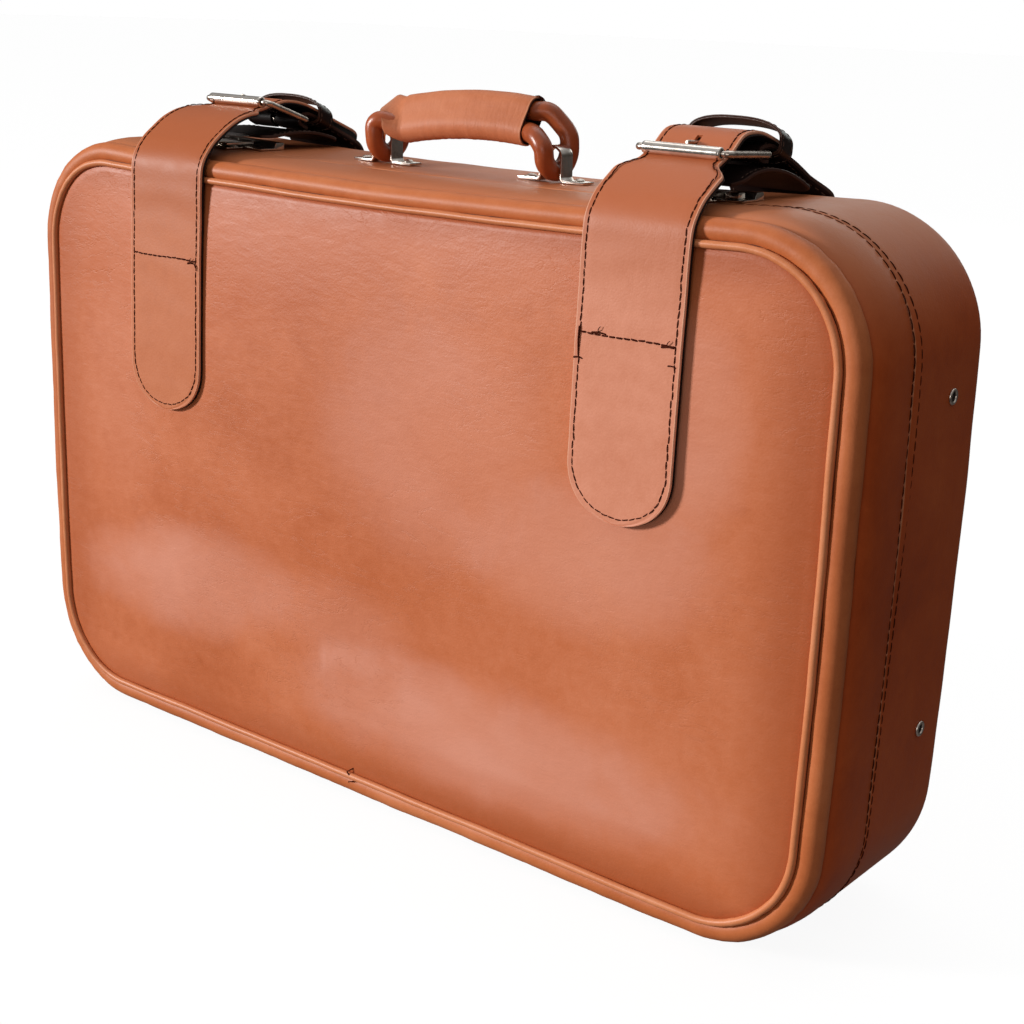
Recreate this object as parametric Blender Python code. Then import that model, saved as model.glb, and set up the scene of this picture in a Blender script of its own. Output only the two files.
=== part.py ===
"""Hard suitcase covered in tan leather: a lid and a base joined by a leather hinge along the bottom,
a padded carry handle, two locks and two buckled straps.

Frame: metres, +Z up, +X along the long side, -Y towards the lid (front), +Y towards the back.
The origin is at the middle of the bounding box's bottom face, where the case stands.
Depths are first counted from the plane of the lid's piping (d = 0, growing to the back) and
shifted by DEPTH_MID into the frame.
"""
import math

import bmesh
import bpy
from mathutils import Matrix, Vector

# ---------------------------------------------------------------- driving dimensions (metres)
CASE_L = 0.660          # outer length of the side wall
CASE_H = 0.421          # outer height at the corners
CORNER_R = 0.078        # outer corner radius, seen from the front
SIDE_BOW = 0.0035       # how far the short sides bow out at mid height
TOP_SAG = 0.009         # how far the top wall sags at mid length
DEPTH_MID = 0.07841     # depth of the bounding box's middle
SPLIT = 0.0525          # depth of the opening line
BACK = 0.146            # depth of the back panel's outer face
BACK_ROUND = 0.018      # radius of the back edge
GAP = 0.0003            # clearance between touching pieces
LEATHER = 0.0014        # side band leather
BOARD = 0.0032          # fibreboard shells
CROWN = 0.0075          # how far the lid's panel is padded out

PIPE_OFF, PIPE_R = 0.0202, 0.0021       # lid piping: offset in from the outer wall, radius
ROLL_OFF, ROLL_RO, ROLL_RD = 0.0108, 0.0074, 0.0075
ROLL_DEPTH = 0.0085

STRAP_X = {"left": -0.186, "right": 0.192}
STRAP_W = 0.070         # strap width on the lid and on the back
TAIL_W = 0.052          # strap width through the buckle
STRAP_T = 0.0030

# each buckle, as (depth, height): its roller on the front bar, and the rear bar that the prong turns on.
# The left strap is let out by one hole, so its buckle sits further back and lies down at the back.
ROLLER = {"left": (0.0590, 0.4462), "right": (0.0355, 0.4431)}
BAR = {"left": (0.0975, 0.4335), "right": (0.0780, 0.4414)}
ROLLER_R, ROLLER_LEN = 0.0030, 0.0540
BAR_R = 0.0016
FRAME_HALF = 0.0300
PRONG_R = 0.0013
KEEPER_D = {"left": (0.1075, 0.1205), "right": (0.0870, 0.1000)}

HANDLE_D = 0.085        # depth of the handle's middle plane
BRACKET_X = 0.0695
PIVOT_Z = 0.4320        # axis of the handle's swing
CORE_R = 0.0060
RUN_Y, RUN_Z = 0.0030, 0.0063           # half spacing of the two stuffed runs in the grip
EYE_R = 0.0130

LOCK_Z = 0.4151         # top wall under the locks
LOCK_TILT = math.radians(2.0)

W2, H2, ZC = CASE_L / 2, CASE_H / 2, CASE_H / 2

# ---------------------------------------------------------------- clean start
for old in list(bpy.data.objects):
    bpy.data.objects.remove(old, do_unlink=True)


def material(name, rgb, rough, metal=0.0):
    mat = bpy.data.materials.new(name)
    mat.use_nodes = True
    bsdf = mat.node_tree.nodes["Principled BSDF"]
    bsdf.inputs["Base Color"].default_value = (*rgb, 1.0)
    bsdf.inputs["Roughness"].default_value = rough
    bsdf.inputs["Metallic"].default_value = metal
    mat.diffuse_color = (*rgb, 1.0)
    return mat


TAN = (0.46, 0.17, 0.075)
TAN_DARK = (0.30, 0.095, 0.040)
BLACK = (0.020, 0.008, 0.007)
BOARD_C = (0.25, 0.17, 0.10)
CLOTH = (0.42, 0.31, 0.20)
NICKEL = (0.70, 0.67, 0.62)


def link(obj, rgb, rough, metal=0.0):
    bpy.context.scene.collection.objects.link(obj)
    obj.data.materials.append(material("mat_" + obj.name, rgb, rough, metal))
    return obj


def solid(name, verts, faces, rgb, rough, metal=0.0, origin=(0, 0, 0), angle=35):
    """A closed mesh object from points and faces, its normals outward and its origin on `origin`."""
    bm = bmesh.new()
    o = Vector(origin)
    vs = [bm.verts.new(Vector(v) - o) for v in verts]
    for f in faces:
        bm.faces.new([vs[i] for i in f])
    bmesh.ops.recalc_face_normals(bm, faces=bm.faces)
    if bm.calc_volume(signed=True) < 0:
        bmesh.ops.reverse_faces(bm, faces=bm.faces)
    me = bpy.data.meshes.new(name)
    bm.to_mesh(me)
    bm.free()
    me.shade_smooth()
    me.set_sharp_from_angle(angle=math.radians(angle))
    obj = bpy.data.objects.new(name, me)
    obj.location = o
    return link(obj, rgb, rough, metal)


def at(x, d, z):
    """Point at length x, depth d behind the lid's piping, height z."""
    return (x, d - DEPTH_MID, z)


# ---------------------------------------------------------------- case outline
def case_loop(off, corner=6):
    """Outline of the case, moved in by `off`: a rounded rectangle with bowed ends and a sagging top."""
    w, h, r = W2 - off, H2 - off, max(CORNER_R - off, 0.004)
    pts = []

    def side(a, b, n):
        for i in range(1, n):
            t = i / n
            pts.append((a[0] * (1 - t) + b[0] * t, a[1] * (1 - t) + b[1] * t))

    def arc(cx, cz, a0):
        for i in range(corner + 1):
            a = a0 + (math.pi / 2) * i / corner
            pts.append((cx + r * math.cos(a), cz + r * math.sin(a)))

    arc(w - r, -h + r, -math.pi / 2)
    side((w, -h + r), (w, h - r), 3)
    arc(w - r, h - r, 0.0)
    side((w - r, h), (-w + r, h), 6)
    arc(-w + r, h - r, math.pi / 2)
    side((-w, h - r), (-w, -h + r), 3)
    arc(-w + r, -h + r, math.pi)
    side((-w + r, -h), (w - r, -h), 2)
    out = []
    for x, z in pts:
        out.append(bend(x, z))
    return out


def bend(x, z):
    """Bows the ends and sags the top. z counts from mid height; the bottom stays flat."""
    t = z / H2
    bx = x + SIDE_BOW * (x / W2) * (1 - t * t)
    bz = z - TOP_SAG * (1 - (x / W2) ** 2) * max(0.0, t) ** 3
    return bx, bz + ZC


def top_z(x, off=0.0):
    """Height of the top wall's outline at length x."""
    return bend(x, H2 - off)[1]


def sweep(profile, closed=True):
    """Points and faces of a profile of (offset, depth) carried round the case outline."""
    loops = [case_loop(o) for o, _ in profile]
    n = len(loops[0])
    verts = [at(x, d, z) for loop, (_, d) in zip(loops, profile) for x, z in loop]
    faces = []
    m = len(profile)
    for i in range(m if closed else m - 1):
        k = (i + 1) % m
        for j in range(n):
            j2 = (j + 1) % n
            faces.append((i * n + j, i * n + j2, k * n + j2, k * n + j))
    return verts, faces, n


def ring(name, profile, rgb, rough, **kw):
    verts, faces, _ = sweep(profile)
    return solid(name, verts, faces, rgb, rough, **kw)


def tray(name, profile, rgb, rough, **kw):
    """Like ring, but the first and last outlines are closed with flat faces."""
    verts, faces, n = sweep(profile, closed=False)
    m = len(profile)
    faces.append(tuple(range(n)))
    faces.append(tuple(range((m - 1) * n, m * n)))
    return solid(name, verts, faces, rgb, rough, **kw)


def round_profile(off, depth, ro, rd, n):
    return [(off + ro * math.cos(2 * math.pi * i / n), depth + rd * math.sin(2 * math.pi * i / n))
            for i in range(n)]


# ---------------------------------------------------------------- lid
def lid_face_depth(x, z):
    """Depth of the lid panel's padded front at length x, height z."""
    u = abs(x) / (W2 - 0.0226)
    v = abs(z - ZC) / (H2 - 0.0226)
    g = max(0.0, 1 - u ** 3.2) * max(0.0, 1 - v ** 3.2)
    return 0.0010 - CROWN * g


tray("lid_shell", [(0.0222, 0.0034), (0.0190, 0.0172), (0.0056, 0.0172), (0.0029, 0.0300), (0.0018, SPLIT - GAP),
                   (0.0018 + BOARD, SPLIT - GAP), (0.0029 + BOARD, 0.0300), (0.0090, 0.0204), (0.0216, 0.0204),
                   (0.0254, 0.0066)], BOARD_C, 0.8)

# front panel: leather over a thin pad, flat behind and crowned in front
rings = (1.0, 0.965, 0.90, 0.80, 0.66, 0.48, 0.24)
base_loop = case_loop(0.0226)
verts, faces = [], []
n = len(base_loop)
for x, z in base_loop:
    verts.append(at(x, 0.0030, z))
for k in rings:
    for x, z in base_loop:
        px, pz = x * k, ZC + (z - ZC) * k
        verts.append(at(px, lid_face_depth(px, pz), pz))
for i in range(len(rings)):
    for j in range(n):
        j2 = (j + 1) % n
        faces.append((i * n + j, i * n + j2, (i + 1) * n + j2, (i + 1) * n + j))
faces.append(tuple(range(n)))
faces.append(tuple(range(len(rings) * n, (len(rings) + 1) * n)))
solid("lid_front_panel", verts, faces, TAN, 0.45)

ring("lid_piping", round_profile(PIPE_OFF, 0.0008, PIPE_R, PIPE_R, 8), TAN, 0.4)
ring("lid_edge_roll", round_profile(ROLL_OFF, ROLL_DEPTH, ROLL_RO, ROLL_RD, 12), TAN, 0.42)


# side bands: the leather stops short of the opening line along the bottom, where the hinge strip lies
HINGE_HALF = 0.0115
HINGE_FLAT = 0.2400


def band(name, profile_at, rgb, rough):
    """A side band whose profile may change along the outline: profile_at(on_hinge) gives (offset, depth)."""
    loops = {}
    pts = case_loop(0.0)
    n = len(pts)
    low = [abs(x) < 0.275 and z < 0.0012 for x, z in pts]
    m = len(profile_at(False))
    verts, faces = [], []
    for j in range(n):
        for o, d in profile_at(low[j]):
            if o not in loops:
                loops[o] = case_loop(o)
            x, z = loops[o][j]
            verts.append(at(x, d, z))
    for j in range(n):
        j2 = (j + 1) % n
        for i in range(m):
            k = (i + 1) % m
            faces.append((j * m + i, j2 * m + i, j2 * m + k, j * m + k))
    return solid(name, verts, faces, rgb, rough)


def lid_band_profile(hinge):
    end = SPLIT - (HINGE_HALF + GAP if hinge else GAP)
    return [(0.0038, 0.0135), (0.0012, 0.0300), (0.0000, end), (LEATHER, end), (0.0026, 0.0300), (0.0053, 0.0162)]


def base_band_profile(hinge):
    start = SPLIT + (HINGE_HALF + GAP if hinge else GAP)
    outer = [(0.0, start)]
    for i in range(0, 6):
        a = math.radians(15 * i)
        outer.append((BACK_ROUND * (1 - math.cos(a)), BACK - BACK_ROUND + BACK_ROUND * math.sin(a)))
    r = BACK_ROUND - LEATHER
    inner = []
    for i in range(5, -1, -1):
        a = math.radians(15 * i)
        inner.append((BACK_ROUND - r * math.cos(a), BACK - BACK_ROUND + r * math.sin(a)))
    inner.append((LEATHER, start))
    return outer + inner


band("lid_side_band", lid_band_profile, TAN, 0.45)
tray("lid_lining", [(0.0260, 0.0070), (0.0225, 0.0208), (0.0096, 0.0208), (0.0065, 0.0300), (0.0054, SPLIT - 0.0010),
                    (0.0064, SPLIT - 0.0010), (0.0075, 0.0302), (0.0104, 0.0218), (0.0235, 0.0218),
                    (0.0270, 0.0080)], CLOTH, 0.9)

# ---------------------------------------------------------------- base
band("base_side_band", base_band_profile, TAN, 0.45)
tray("base_shell", [(0.0215, BACK - 0.0020), (0.0150, BACK - 0.0035), (0.0075, BACK - 0.0075), (0.0018, BACK - BACK_ROUND),
                    (0.0018, SPLIT + GAP), (0.0018 + BOARD, SPLIT + GAP), (0.0018 + BOARD, BACK - BACK_ROUND),
                    (0.0100, BACK - 0.0105), (0.0165, BACK - 0.0068), (0.0230, BACK - 0.0052)], BOARD_C, 0.8)
PANEL_OFF = 0.0222
tray("base_back_panel", [(PANEL_OFF, BACK - 0.0016), (PANEL_OFF, BACK - 0.0006), (PANEL_OFF + 0.0008, BACK)], TAN, 0.45)
ring("base_back_piping", round_profile(0.0200, BACK - 0.0002, 0.0016, 0.0016, 8), TAN, 0.4)
LINE = 0.0018 + BOARD + GAP
tray("base_lining", [(0.0233, BACK - 0.0055), (0.0168, BACK - 0.0072), (0.0104, BACK - 0.0109), (LINE, BACK - BACK_ROUND),
                     (LINE, SPLIT + 0.0010), (LINE + 0.0010, SPLIT + 0.0010), (LINE + 0.0010, BACK - BACK_ROUND),
                     (0.0112, BACK - 0.0119), (0.0176, BACK - 0.0082), (0.0240, BACK - 0.0065)], CLOTH, 0.9)
# closing frame: a thin steel strip inside the base's mouth, which guides the lid shut
FR = LINE + 0.0021
ring("closing_frame", [(FR, SPLIT - 0.0060), (FR, SPLIT + 0.0120), (FR + 0.0008, SPLIT + 0.0120),
                       (FR + 0.0008, SPLIT - 0.0060)], NICKEL, 0.35, metal=1.0)


def box_points(lo, hi, d0, d1, z0, z1):
    v = [at(lo, d0, z0), at(hi, d0, z0), at(hi, d1, z0), at(lo, d1, z0),
         at(lo, d0, z1), at(hi, d0, z1), at(hi, d1, z1), at(lo, d1, z1)]
    f = [(0, 1, 2, 3), (4, 5, 6, 7), (0, 1, 5, 4), (1, 2, 6, 5), (2, 3, 7, 6), (3, 0, 4, 7)]
    return v, f


# leather hinge strip along the bottom, let into the bands
v, f = box_points(-HINGE_FLAT, HINGE_FLAT, SPLIT - HINGE_HALF, SPLIT + HINGE_HALF, 0.0, 0.0012)
solid("hinge_strip", v, f, TAN_DARK, 0.5)


# ---------------------------------------------------------------- curves and ribbons
def smooth_path(points, per=4):
    """Catmull-Rom points through `points`."""
    p = [Vector(q) for q in points]
    ext = [p[0] * 2 - p[1]] + p + [p[-1] * 2 - p[-2]]
    out = []
    for i in range(1, len(ext) - 2):
        a, b, c, d = ext[i - 1:i + 3]
        for k in range(per):
            t = k / per
            out.append(0.5 * ((2 * b) + (c - a) * t + (2 * a - 5 * b + 4 * c - d) * t * t
                              + (3 * b - a - 3 * c + d) * t ** 3))
    out.append(p[-1])
    return out


def ribbon(name, x0, path, width_at, t, cols, slot_at, rgb, rough):
    """A flat strap of thickness t along a path of (depth, height), its columns spread over the width.

    width_at(i, n) gives the width at station i; slot_at(p) says whether the middle column is open there.
    """
    n = len(path)
    norms = []
    for i in range(n):
        a, b = path[max(0, i - 1)], path[min(n - 1, i + 1)]
        tx, tz = b[0] - a[0], b[1] - a[1]
        ln = math.hypot(tx, tz)
        norms.append((-tz / ln, tx / ln))
    m = len(cols)
    verts = []
    for side in (1, -1):
        for i in range(n):
            w = width_at(i, n)
            d = path[i][0] + side * norms[i][0] * t / 2
            z = path[i][1] + side * norms[i][1] * t / 2
            for c in cols:
                x = x0 + (c if abs(c) < 0.006 and w > 0.02 else c / cols[-1] * w / 2)
                verts.append(at(x, d, z))
    mid = (m - 2) // 2
    open_cell = [[False] * (m - 1) for _ in range(n - 1)]
    for i in range(n - 1):
        q = ((path[i][0] + path[i + 1][0]) / 2, (path[i][1] + path[i + 1][1]) / 2)
        if slot_at(i, q):
            open_cell[i][mid] = True
    idx = lambda s, i, j: s * n * m + i * m + j
    faces = []

    def solid_cell(i, j):
        return 0 <= i < n - 1 and 0 <= j < m - 1 and not open_cell[i][j]

    for i in range(n - 1):
        for j in range(m - 1):
            if not solid_cell(i, j):
                continue
            for s in (0, 1):
                faces.append((idx(s, i, j), idx(s, i, j + 1), idx(s, i + 1, j + 1), idx(s, i + 1, j)))
            for (ni, nj, a, b) in ((i - 1, j, (i, j), (i, j + 1)), (i + 1, j, (i + 1, j), (i + 1, j + 1)),
                                   (i, j - 1, (i, j), (i + 1, j)), (i, j + 1, (i, j + 1), (i + 1, j + 1))):
                if not solid_cell(ni, nj):
                    faces.append((idx(0, *a), idx(0, *b), idx(1, *b), idx(1, *a)))
    used = sorted({k for fc in faces for k in fc})
    remap = {k: i for i, k in enumerate(used)}
    return solid(name, [verts[k] for k in used], [tuple(remap[k] for k in fc) for fc in faces], rgb, rough)


# front strap: sewn flat on the lid from its round end up, over the edge, under the roller, over the
# rear bar and through the keeper; its tail follows an arc about the lid's hinge
SEWN = ((-0.0078, 0.2410), (-0.0077, 0.2450), (-0.0074, 0.2620), (-0.0069, 0.2900), (-0.0061, 0.3200), (-0.0055, 0.3450),
        (-0.0043, 0.3720), (-0.0038, 0.3920), (-0.0020, 0.4075), (0.0050, 0.4185), (0.0150, 0.4268))
TAIL = {"right": ((0.0250, 0.4335), (0.0355, 0.4380), (0.0455, 0.4430), (0.0560, 0.4508), (0.0660, 0.4527),
                  (0.0780, 0.4515), (0.0960, 0.4460), (0.1160, 0.4390), (0.1400, 0.4295), (0.1600, 0.4205),
                  (0.1655, 0.4180)),
        "left": ((0.0270, 0.4342), (0.0420, 0.4393), (0.0590, 0.4411), (0.0700, 0.4438), (0.0820, 0.4458),
                 (0.0970, 0.4440), (0.1130, 0.4382), (0.1300, 0.4310), (0.1460, 0.4245), (0.1600, 0.4190),
                 (0.1655, 0.4168))}


def ease(t):
    t = min(1.0, max(0.0, t))
    return t * t * (3 - 2 * t)


def tongue(z):
    """Width of a strap's round lower end."""
    u = max(0.0, min(1.0, (z - 0.2410) / 0.0350))
    return max(0.30, math.sqrt(max(0.0, 1 - (1 - u) ** 2.4))) * STRAP_W


COLS = (-0.035, -0.0023, 0.0023, 0.035)
for side, x0 in STRAP_X.items():
    path = smooth_path([Vector(q) for q in SEWN + TAIL[side]], 2)
    rd, bd = ROLLER[side][0], BAR[side][0]

    def front_width(i, n, path=path, rd=rd):
        d, z = path[i]
        if z < 0.2760 and d < 0:
            return tongue(z)
        w = STRAP_W + (TAIL_W - STRAP_W) * ease((d - rd + 0.0140) / 0.0115)
        if d > 0.1450:                  # tapered tail tip
            w *= 1 - 0.62 * ((d - 0.1450) / 0.0210) ** 1.6
        return w

    ribbon("strap_front_" + side, x0, path, front_width, STRAP_T, COLS,
           lambda i, q, rd=rd, bd=bd: rd + 0.0080 < q[0] < bd - 0.0005, TAN, 0.45)

# rear strap: sewn on the back, over the back edge and up to the buckle, folded round its rear bar
BACK_RUN = ((0.1484, 0.2410), (0.1483, 0.2450), (0.1481, 0.2620), (0.1480, 0.3000), (0.1480, 0.3450), (0.1481, 0.3800),
            (0.1490, 0.3980), (0.1470, 0.4110))
RISE = {"right": ((0.1380, 0.4212), (0.1220, 0.4305), (0.1050, 0.4380), (0.0900, 0.4440), (0.0830, 0.4454)),
        "left": ((0.1390, 0.4195), (0.1280, 0.4265), (0.1160, 0.4318), (0.1080, 0.4352), (0.1020, 0.4373))}
REAR_W = 0.052
FOLD_R = BAR_R + GAP + 0.0001 + STRAP_T / 2
for side, x0 in STRAP_X.items():
    bd, bz = BAR[side]
    lean = 0 if side == "right" else 22
    bend_pts = [Vector((bd - FOLD_R * math.sin(math.radians(a)), bz + FOLD_R * math.cos(math.radians(a))))
                for a in (10 - lean, 40 - lean, 70 - lean, 100 - lean, 130 - lean, 160 - lean)]
    ld = Vector((math.cos(math.radians(-lean)), math.sin(math.radians(-lean))))
    tail_end = [bend_pts[-1] + ld * 0.0030 - Vector((0, 0.0002)), bend_pts[-1] + ld * 0.0065 - Vector((0, 0.0004))]
    path = smooth_path([Vector(q) for q in BACK_RUN + RISE[side]], 2) + bend_pts + tail_end

    def rear_width(i, n, path=path):
        d, z = path[i]
        if z < 0.2760:
            return tongue(z)
        return STRAP_W + (REAR_W - STRAP_W) * ease((z - 0.4150) / 0.0120) if z > 0.4 else STRAP_W

    ribbon("strap_rear_" + side, x0, path, rear_width, STRAP_T, (-0.035, -0.0028, 0.0028, 0.035),
           lambda i, q, bd=bd: q[0] < bd + 0.0075, TAN_DARK, 0.5)

# buckle pad: a dark leather piece under the buckle, over the lock
PAD = {"right": ((0.0655, 0.4270), (0.0780, 0.4298), (0.0930, 0.4298), (0.1080, 0.4275), (0.1200, 0.4235), (0.1300, 0.4185)),
       "left": ((0.0655, 0.4220), (0.0800, 0.4250), (0.0950, 0.4255), (0.1080, 0.4242), (0.1200, 0.4215), (0.1300, 0.4180))}
for side, x0 in STRAP_X.items():
    path = smooth_path([Vector(q) for q in PAD[side]], 2)
    ribbon("buckle_pad_" + side, x0, path, lambda i, n: 0.062, 0.0020, (-0.031, 0.0, 0.031),
           lambda i, q: False, BLACK, 0.6)


def tube(name, pts, radius, rgb, rough, metal=0.0, cyclic=False, res=2, origin=(0, 0, 0)):
    """A round rod along points, from a curve with a bevel."""
    cu = bpy.data.curves.new(name, "CURVE")
    cu.dimensions = "3D"
    cu.bevel_depth = radius
    cu.bevel_resolution = res
    cu.use_fill_caps = not cyclic
    cu.twist_mode = "MINIMUM"
    sp = cu.splines.new("POLY")
    sp.points.add(len(pts) - 1)
    o = Vector(origin)
    for p, q in zip(sp.points, pts):
        p.co = (*(Vector(q) - o), 1.0)
    sp.use_cyclic_u = cyclic
    sp.use_smooth = True
    obj = bpy.data.objects.new(name, cu)
    obj.location = o
    return link(obj, rgb, rough, metal)


def turned(name, centre, axis, profile, seg, rgb, rough, metal=0.0, closed=True):
    """A solid turned about `axis` through `centre`; profile is (along, radius). Radii of 0 close on the axis."""
    ax = Vector(axis).normalized()
    ref = Vector((0, 0, 1)) if abs(ax.z) < 0.9 else Vector((1, 0, 0))
    e1 = ax.cross(ref).normalized()
    e2 = ax.cross(e1)
    c = Vector(centre)
    verts, rows = [], []
    for a, r in profile:
        if r == 0:
            rows.append([len(verts)])
            verts.append(c + ax * a)
        else:
            rows.append(list(range(len(verts), len(verts) + seg)))
            for i in range(seg):
                t = 2 * math.pi * i / seg
                verts.append(c + ax * a + (e1 * math.cos(t) + e2 * math.sin(t)) * r)
    faces = []
    m = len(rows)
    for i in range(m if closed else m - 1):
        p, q = rows[i], rows[(i + 1) % m]
        for j in range(seg):
            j2 = (j + 1) % seg
            if len(p) == 1 and len(q) == 1:
                continue
            if len(p) == 1:
                faces.append((p[0], q[j], q[j2]))
            elif len(q) == 1:
                faces.append((p[j], p[j2], q[0]))
            else:
                faces.append((p[j], p[j2], q[j2], q[j]))
    return solid(name, verts, faces, rgb, rough, metal=metal, origin=centre)


for side, x0 in STRAP_X.items():
    (rd, rz), (bd, bz) = ROLLER[side], BAR[side]
    # buckle frame: a wire rectangle with rounded corners; the roller turns on its front bar
    r = 0.0040
    pts = []
    for cx, cd, a0 in ((FRAME_HALF - r, rd + r, -90), (FRAME_HALF - r, bd - r, 0),
                       (-FRAME_HALF + r, bd - r, 90), (-FRAME_HALF + r, rd + r, 180)):
        for i in range(5):
            a = math.radians(a0 + 22.5 * i)
            d = cd + r * math.sin(a)
            pts.append(at(x0 + cx + r * math.cos(a), d, rz + (bz - rz) * (d - rd) / (bd - rd)))
    full = []
    for i, p in enumerate(pts):
        q = pts[(i + 1) % len(pts)]
        full.append(p)
        if (Vector(q) - Vector(p)).length > 0.01:
            full.append(tuple((Vector(p) + Vector(q)) / 2))
    tube("buckle_frame_" + side, full, BAR_R, NICKEL, 0.25, 1.0, cyclic=True)
    # roller: a sleeve on the front bar
    hl = ROLLER_LEN / 2 - 0.0020
    turned("buckle_roller_" + side, at(x0, rd, rz), (1, 0, 0),
           [(-hl, 0.0019), (-hl, 0.0027), (-hl + 0.0004, ROLLER_R), (hl - 0.0004, ROLLER_R), (hl, 0.0027), (hl, 0.0019)],
           14, NICKEL, 0.2, metal=1.0)
    # prong: a wire hooked round the rear bar, its tip on the back of the roller
    rr = BAR_R + 0.00028 + PRONG_R
    e = Vector((rd - bd, rz - bz)).normalized()
    up = Vector((-e.y, e.x)) if e.x > 0 else Vector((e.y, -e.x))
    tip = Vector((rd, rz)) - e * 0.0035 + up * (ROLLER_R + PRONG_R)
    to = tip - Vector((bd, bz))
    leave = math.atan2(to.y, to.x) - math.acos(rr / to.length)
    hook = [Vector((bd + rr * math.cos(leave - math.radians(250 * (1 - i / 10))),
                    bz + rr * math.sin(leave - math.radians(250 * (1 - i / 10))))) for i in range(11)]
    line = hook + [hook[-1].lerp(tip, t) for t in (0.12, 0.5, 1.0)]
    tube("buckle_prong_" + side, [at(x0, q.x, q.y) for q in line], PRONG_R, NICKEL, 0.25, 1.0, origin=at(x0, bd, bz))
    # keeper: a leather loop round the rear strap and the tail
    kd0, kd1 = KEEPER_D[side]
    lean = 0.35 if side == "right" else 0.42
    loop = []
    kw = 0.0312
    kz0, kz1 = (0.4362, 0.4582) if side == "right" else (0.4270, 0.4472)
    count = 24
    for i in range(count):
        a = 2 * math.pi * i / count
        ca, sa = math.cos(a), math.sin(a)
        px = kw * math.copysign(abs(ca) ** 0.55, ca)
        pz = (kz0 + kz1) / 2 + (kz1 - kz0) / 2 * math.copysign(abs(sa) ** (0.75 if sa > 0 else 0.40), sa)
        loop.append((px, pz))
    verts, faces = [], []
    for o in (0.0, 0.0018):
        for d in (kd0, kd1):
            for j in range(count):
                a, b = loop[j - 1], loop[(j + 1) % count]
                tx, tz = b[0] - a[0], b[1] - a[1]
                ln = math.hypot(tx, tz)
                nx, nz = tz / ln, -tx / ln
                verts.append(at(x0 + loop[j][0] - nx * o, d, loop[j][1] - nz * o + ((kd0 + kd1) / 2 - d) * lean))
    order = (0, 1, 3, 2)
    for i in range(4):
        p, q = order[i] * count, order[(i + 1) % 4] * count
        for j in range(count):
            j2 = (j + 1) % count
            faces.append((p + j, p + j2, q + j2, q + j))
    solid("strap_keeper_" + side, verts, faces, BLACK, 0.55)

# ---------------------------------------------------------------- locks
for side, x0 in STRAP_X.items():
    sgn = 1 if side == "right" else -1
    tilt = Matrix.Rotation(-sgn * LOCK_TILT, 3, "Y")
    c0 = Vector(at(x0, 0.0, LOCK_Z))

    def lk(u, d, w, c0=c0, tilt=tilt):
        """Point of the lock: u along X from its middle, depth d, w above the top wall."""
        return tuple(c0 + tilt @ Vector((u, d, w)))

    def prism(name, section, u0, u1, rgb, rough, metal, lk=lk, origin=(0, 0, 0)):
        m = len(section)
        verts = [lk(u, d, w) for u in (u0, u1) for d, w in section]
        faces = [tuple(range(m)), tuple(range(m, 2 * m))]
        for i in range(m):
            k = (i + 1) % m
            faces.append((i, k, m + k, m + i))
        return solid(name, verts, faces, rgb, rough, metal=metal, origin=origin, angle=30)

    prism("lock_plate_" + side, [(0.0537, 0.0006), (0.0745, 0.0006), (0.0745, 0.0046), (0.0740, 0.0052), (0.0670, 0.0052),
                                 (0.0655, 0.0018), (0.0537, 0.0018)], -0.030, 0.030, NICKEL, 0.3, 1.0)
    prism("lock_strike_" + side, [(0.0370, 0.0006), (0.0512, 0.0006), (0.0512, 0.0014), (0.0470, 0.0014), (0.0465, 0.0023),
                                  (0.0440, 0.0023), (0.0435, 0.0014), (0.0370, 0.0014)], -0.014, 0.014, NICKEL, 0.3, 1.0)
    # hasp: a flat flap on a barrel
    hd, hw, hr = 0.0627, 0.0037, 0.0015
    sec = []
    for i in range(9):
        a = math.radians(150 - 30 * i)
        sec.append((hd + hr * math.cos(a), hw + hr * math.sin(a)))
    sec += [(0.0400, hw - 0.0009), (0.0392, hw - 0.0004), (0.0392, hw + 0.0003), (0.0400, hw + 0.0006)]
    prism("lock_hasp_" + side, sec, -0.0115, 0.0115, NICKEL, 0.25, 1.0, origin=lk(0, hd, hw))
    # sliding button beside the hasp
    b = 0.0165 * sgn
    u0, u1 = sorted((b, b + sgn * 0.0085))
    prism("lock_button_" + side, [(0.0560, 0.0021), (0.0630, 0.0021), (0.0630, 0.0046), (0.0622, 0.0054), (0.0568, 0.0054),
                                  (0.0560, 0.0046)], u0, u1, NICKEL, 0.3, 1.0)


# ---------------------------------------------------------------- handle
def grip_z(x):
    """Height of the grip's middle line: a low arch, its left end lower."""
    return 0.4486 - 1.4 * (x - 0.018) ** 2


def eye_points(s):
    """Control points of the core round the eye at end s = +1 or -1, from the lower run to the upper run."""
    b = BRACKET_X
    z0 = grip_z(s * 0.050)
    if s > 0:
        pts = [(0.0500, -RUN_Y, z0 - RUN_Z), (0.0565, -0.0075, (z0 - RUN_Z) * 0.75 + 0.4395 * 0.25),
               (0.0625, -0.0115, (z0 - RUN_Z) * 0.3 + 0.4385 * 0.7), (0.0672, -0.0131, 0.4358)]
    else:
        pts = [(0.0500, -RUN_Y, z0 - RUN_Z), (0.0575, -0.0078, 0.4390), (0.0648, -0.0118, 0.4405), (0.0690, -0.0130, 0.4375)]
    for a in range(0, 181, 30):
        pts.append((b, -EYE_R * math.cos(math.radians(a)), PIVOT_Z - EYE_R * math.sin(math.radians(a))))
    pts += [(0.0686, 0.0129, 0.4395), (0.0650, 0.0108, 0.4455 if s > 0 else 0.4440),
            (0.0580, 0.0068, (z0 + RUN_Z) - 0.0006), (0.0500, RUN_Y, z0 + RUN_Z)]
    return [(s * x, y, z) for x, y, z in pts]


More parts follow.
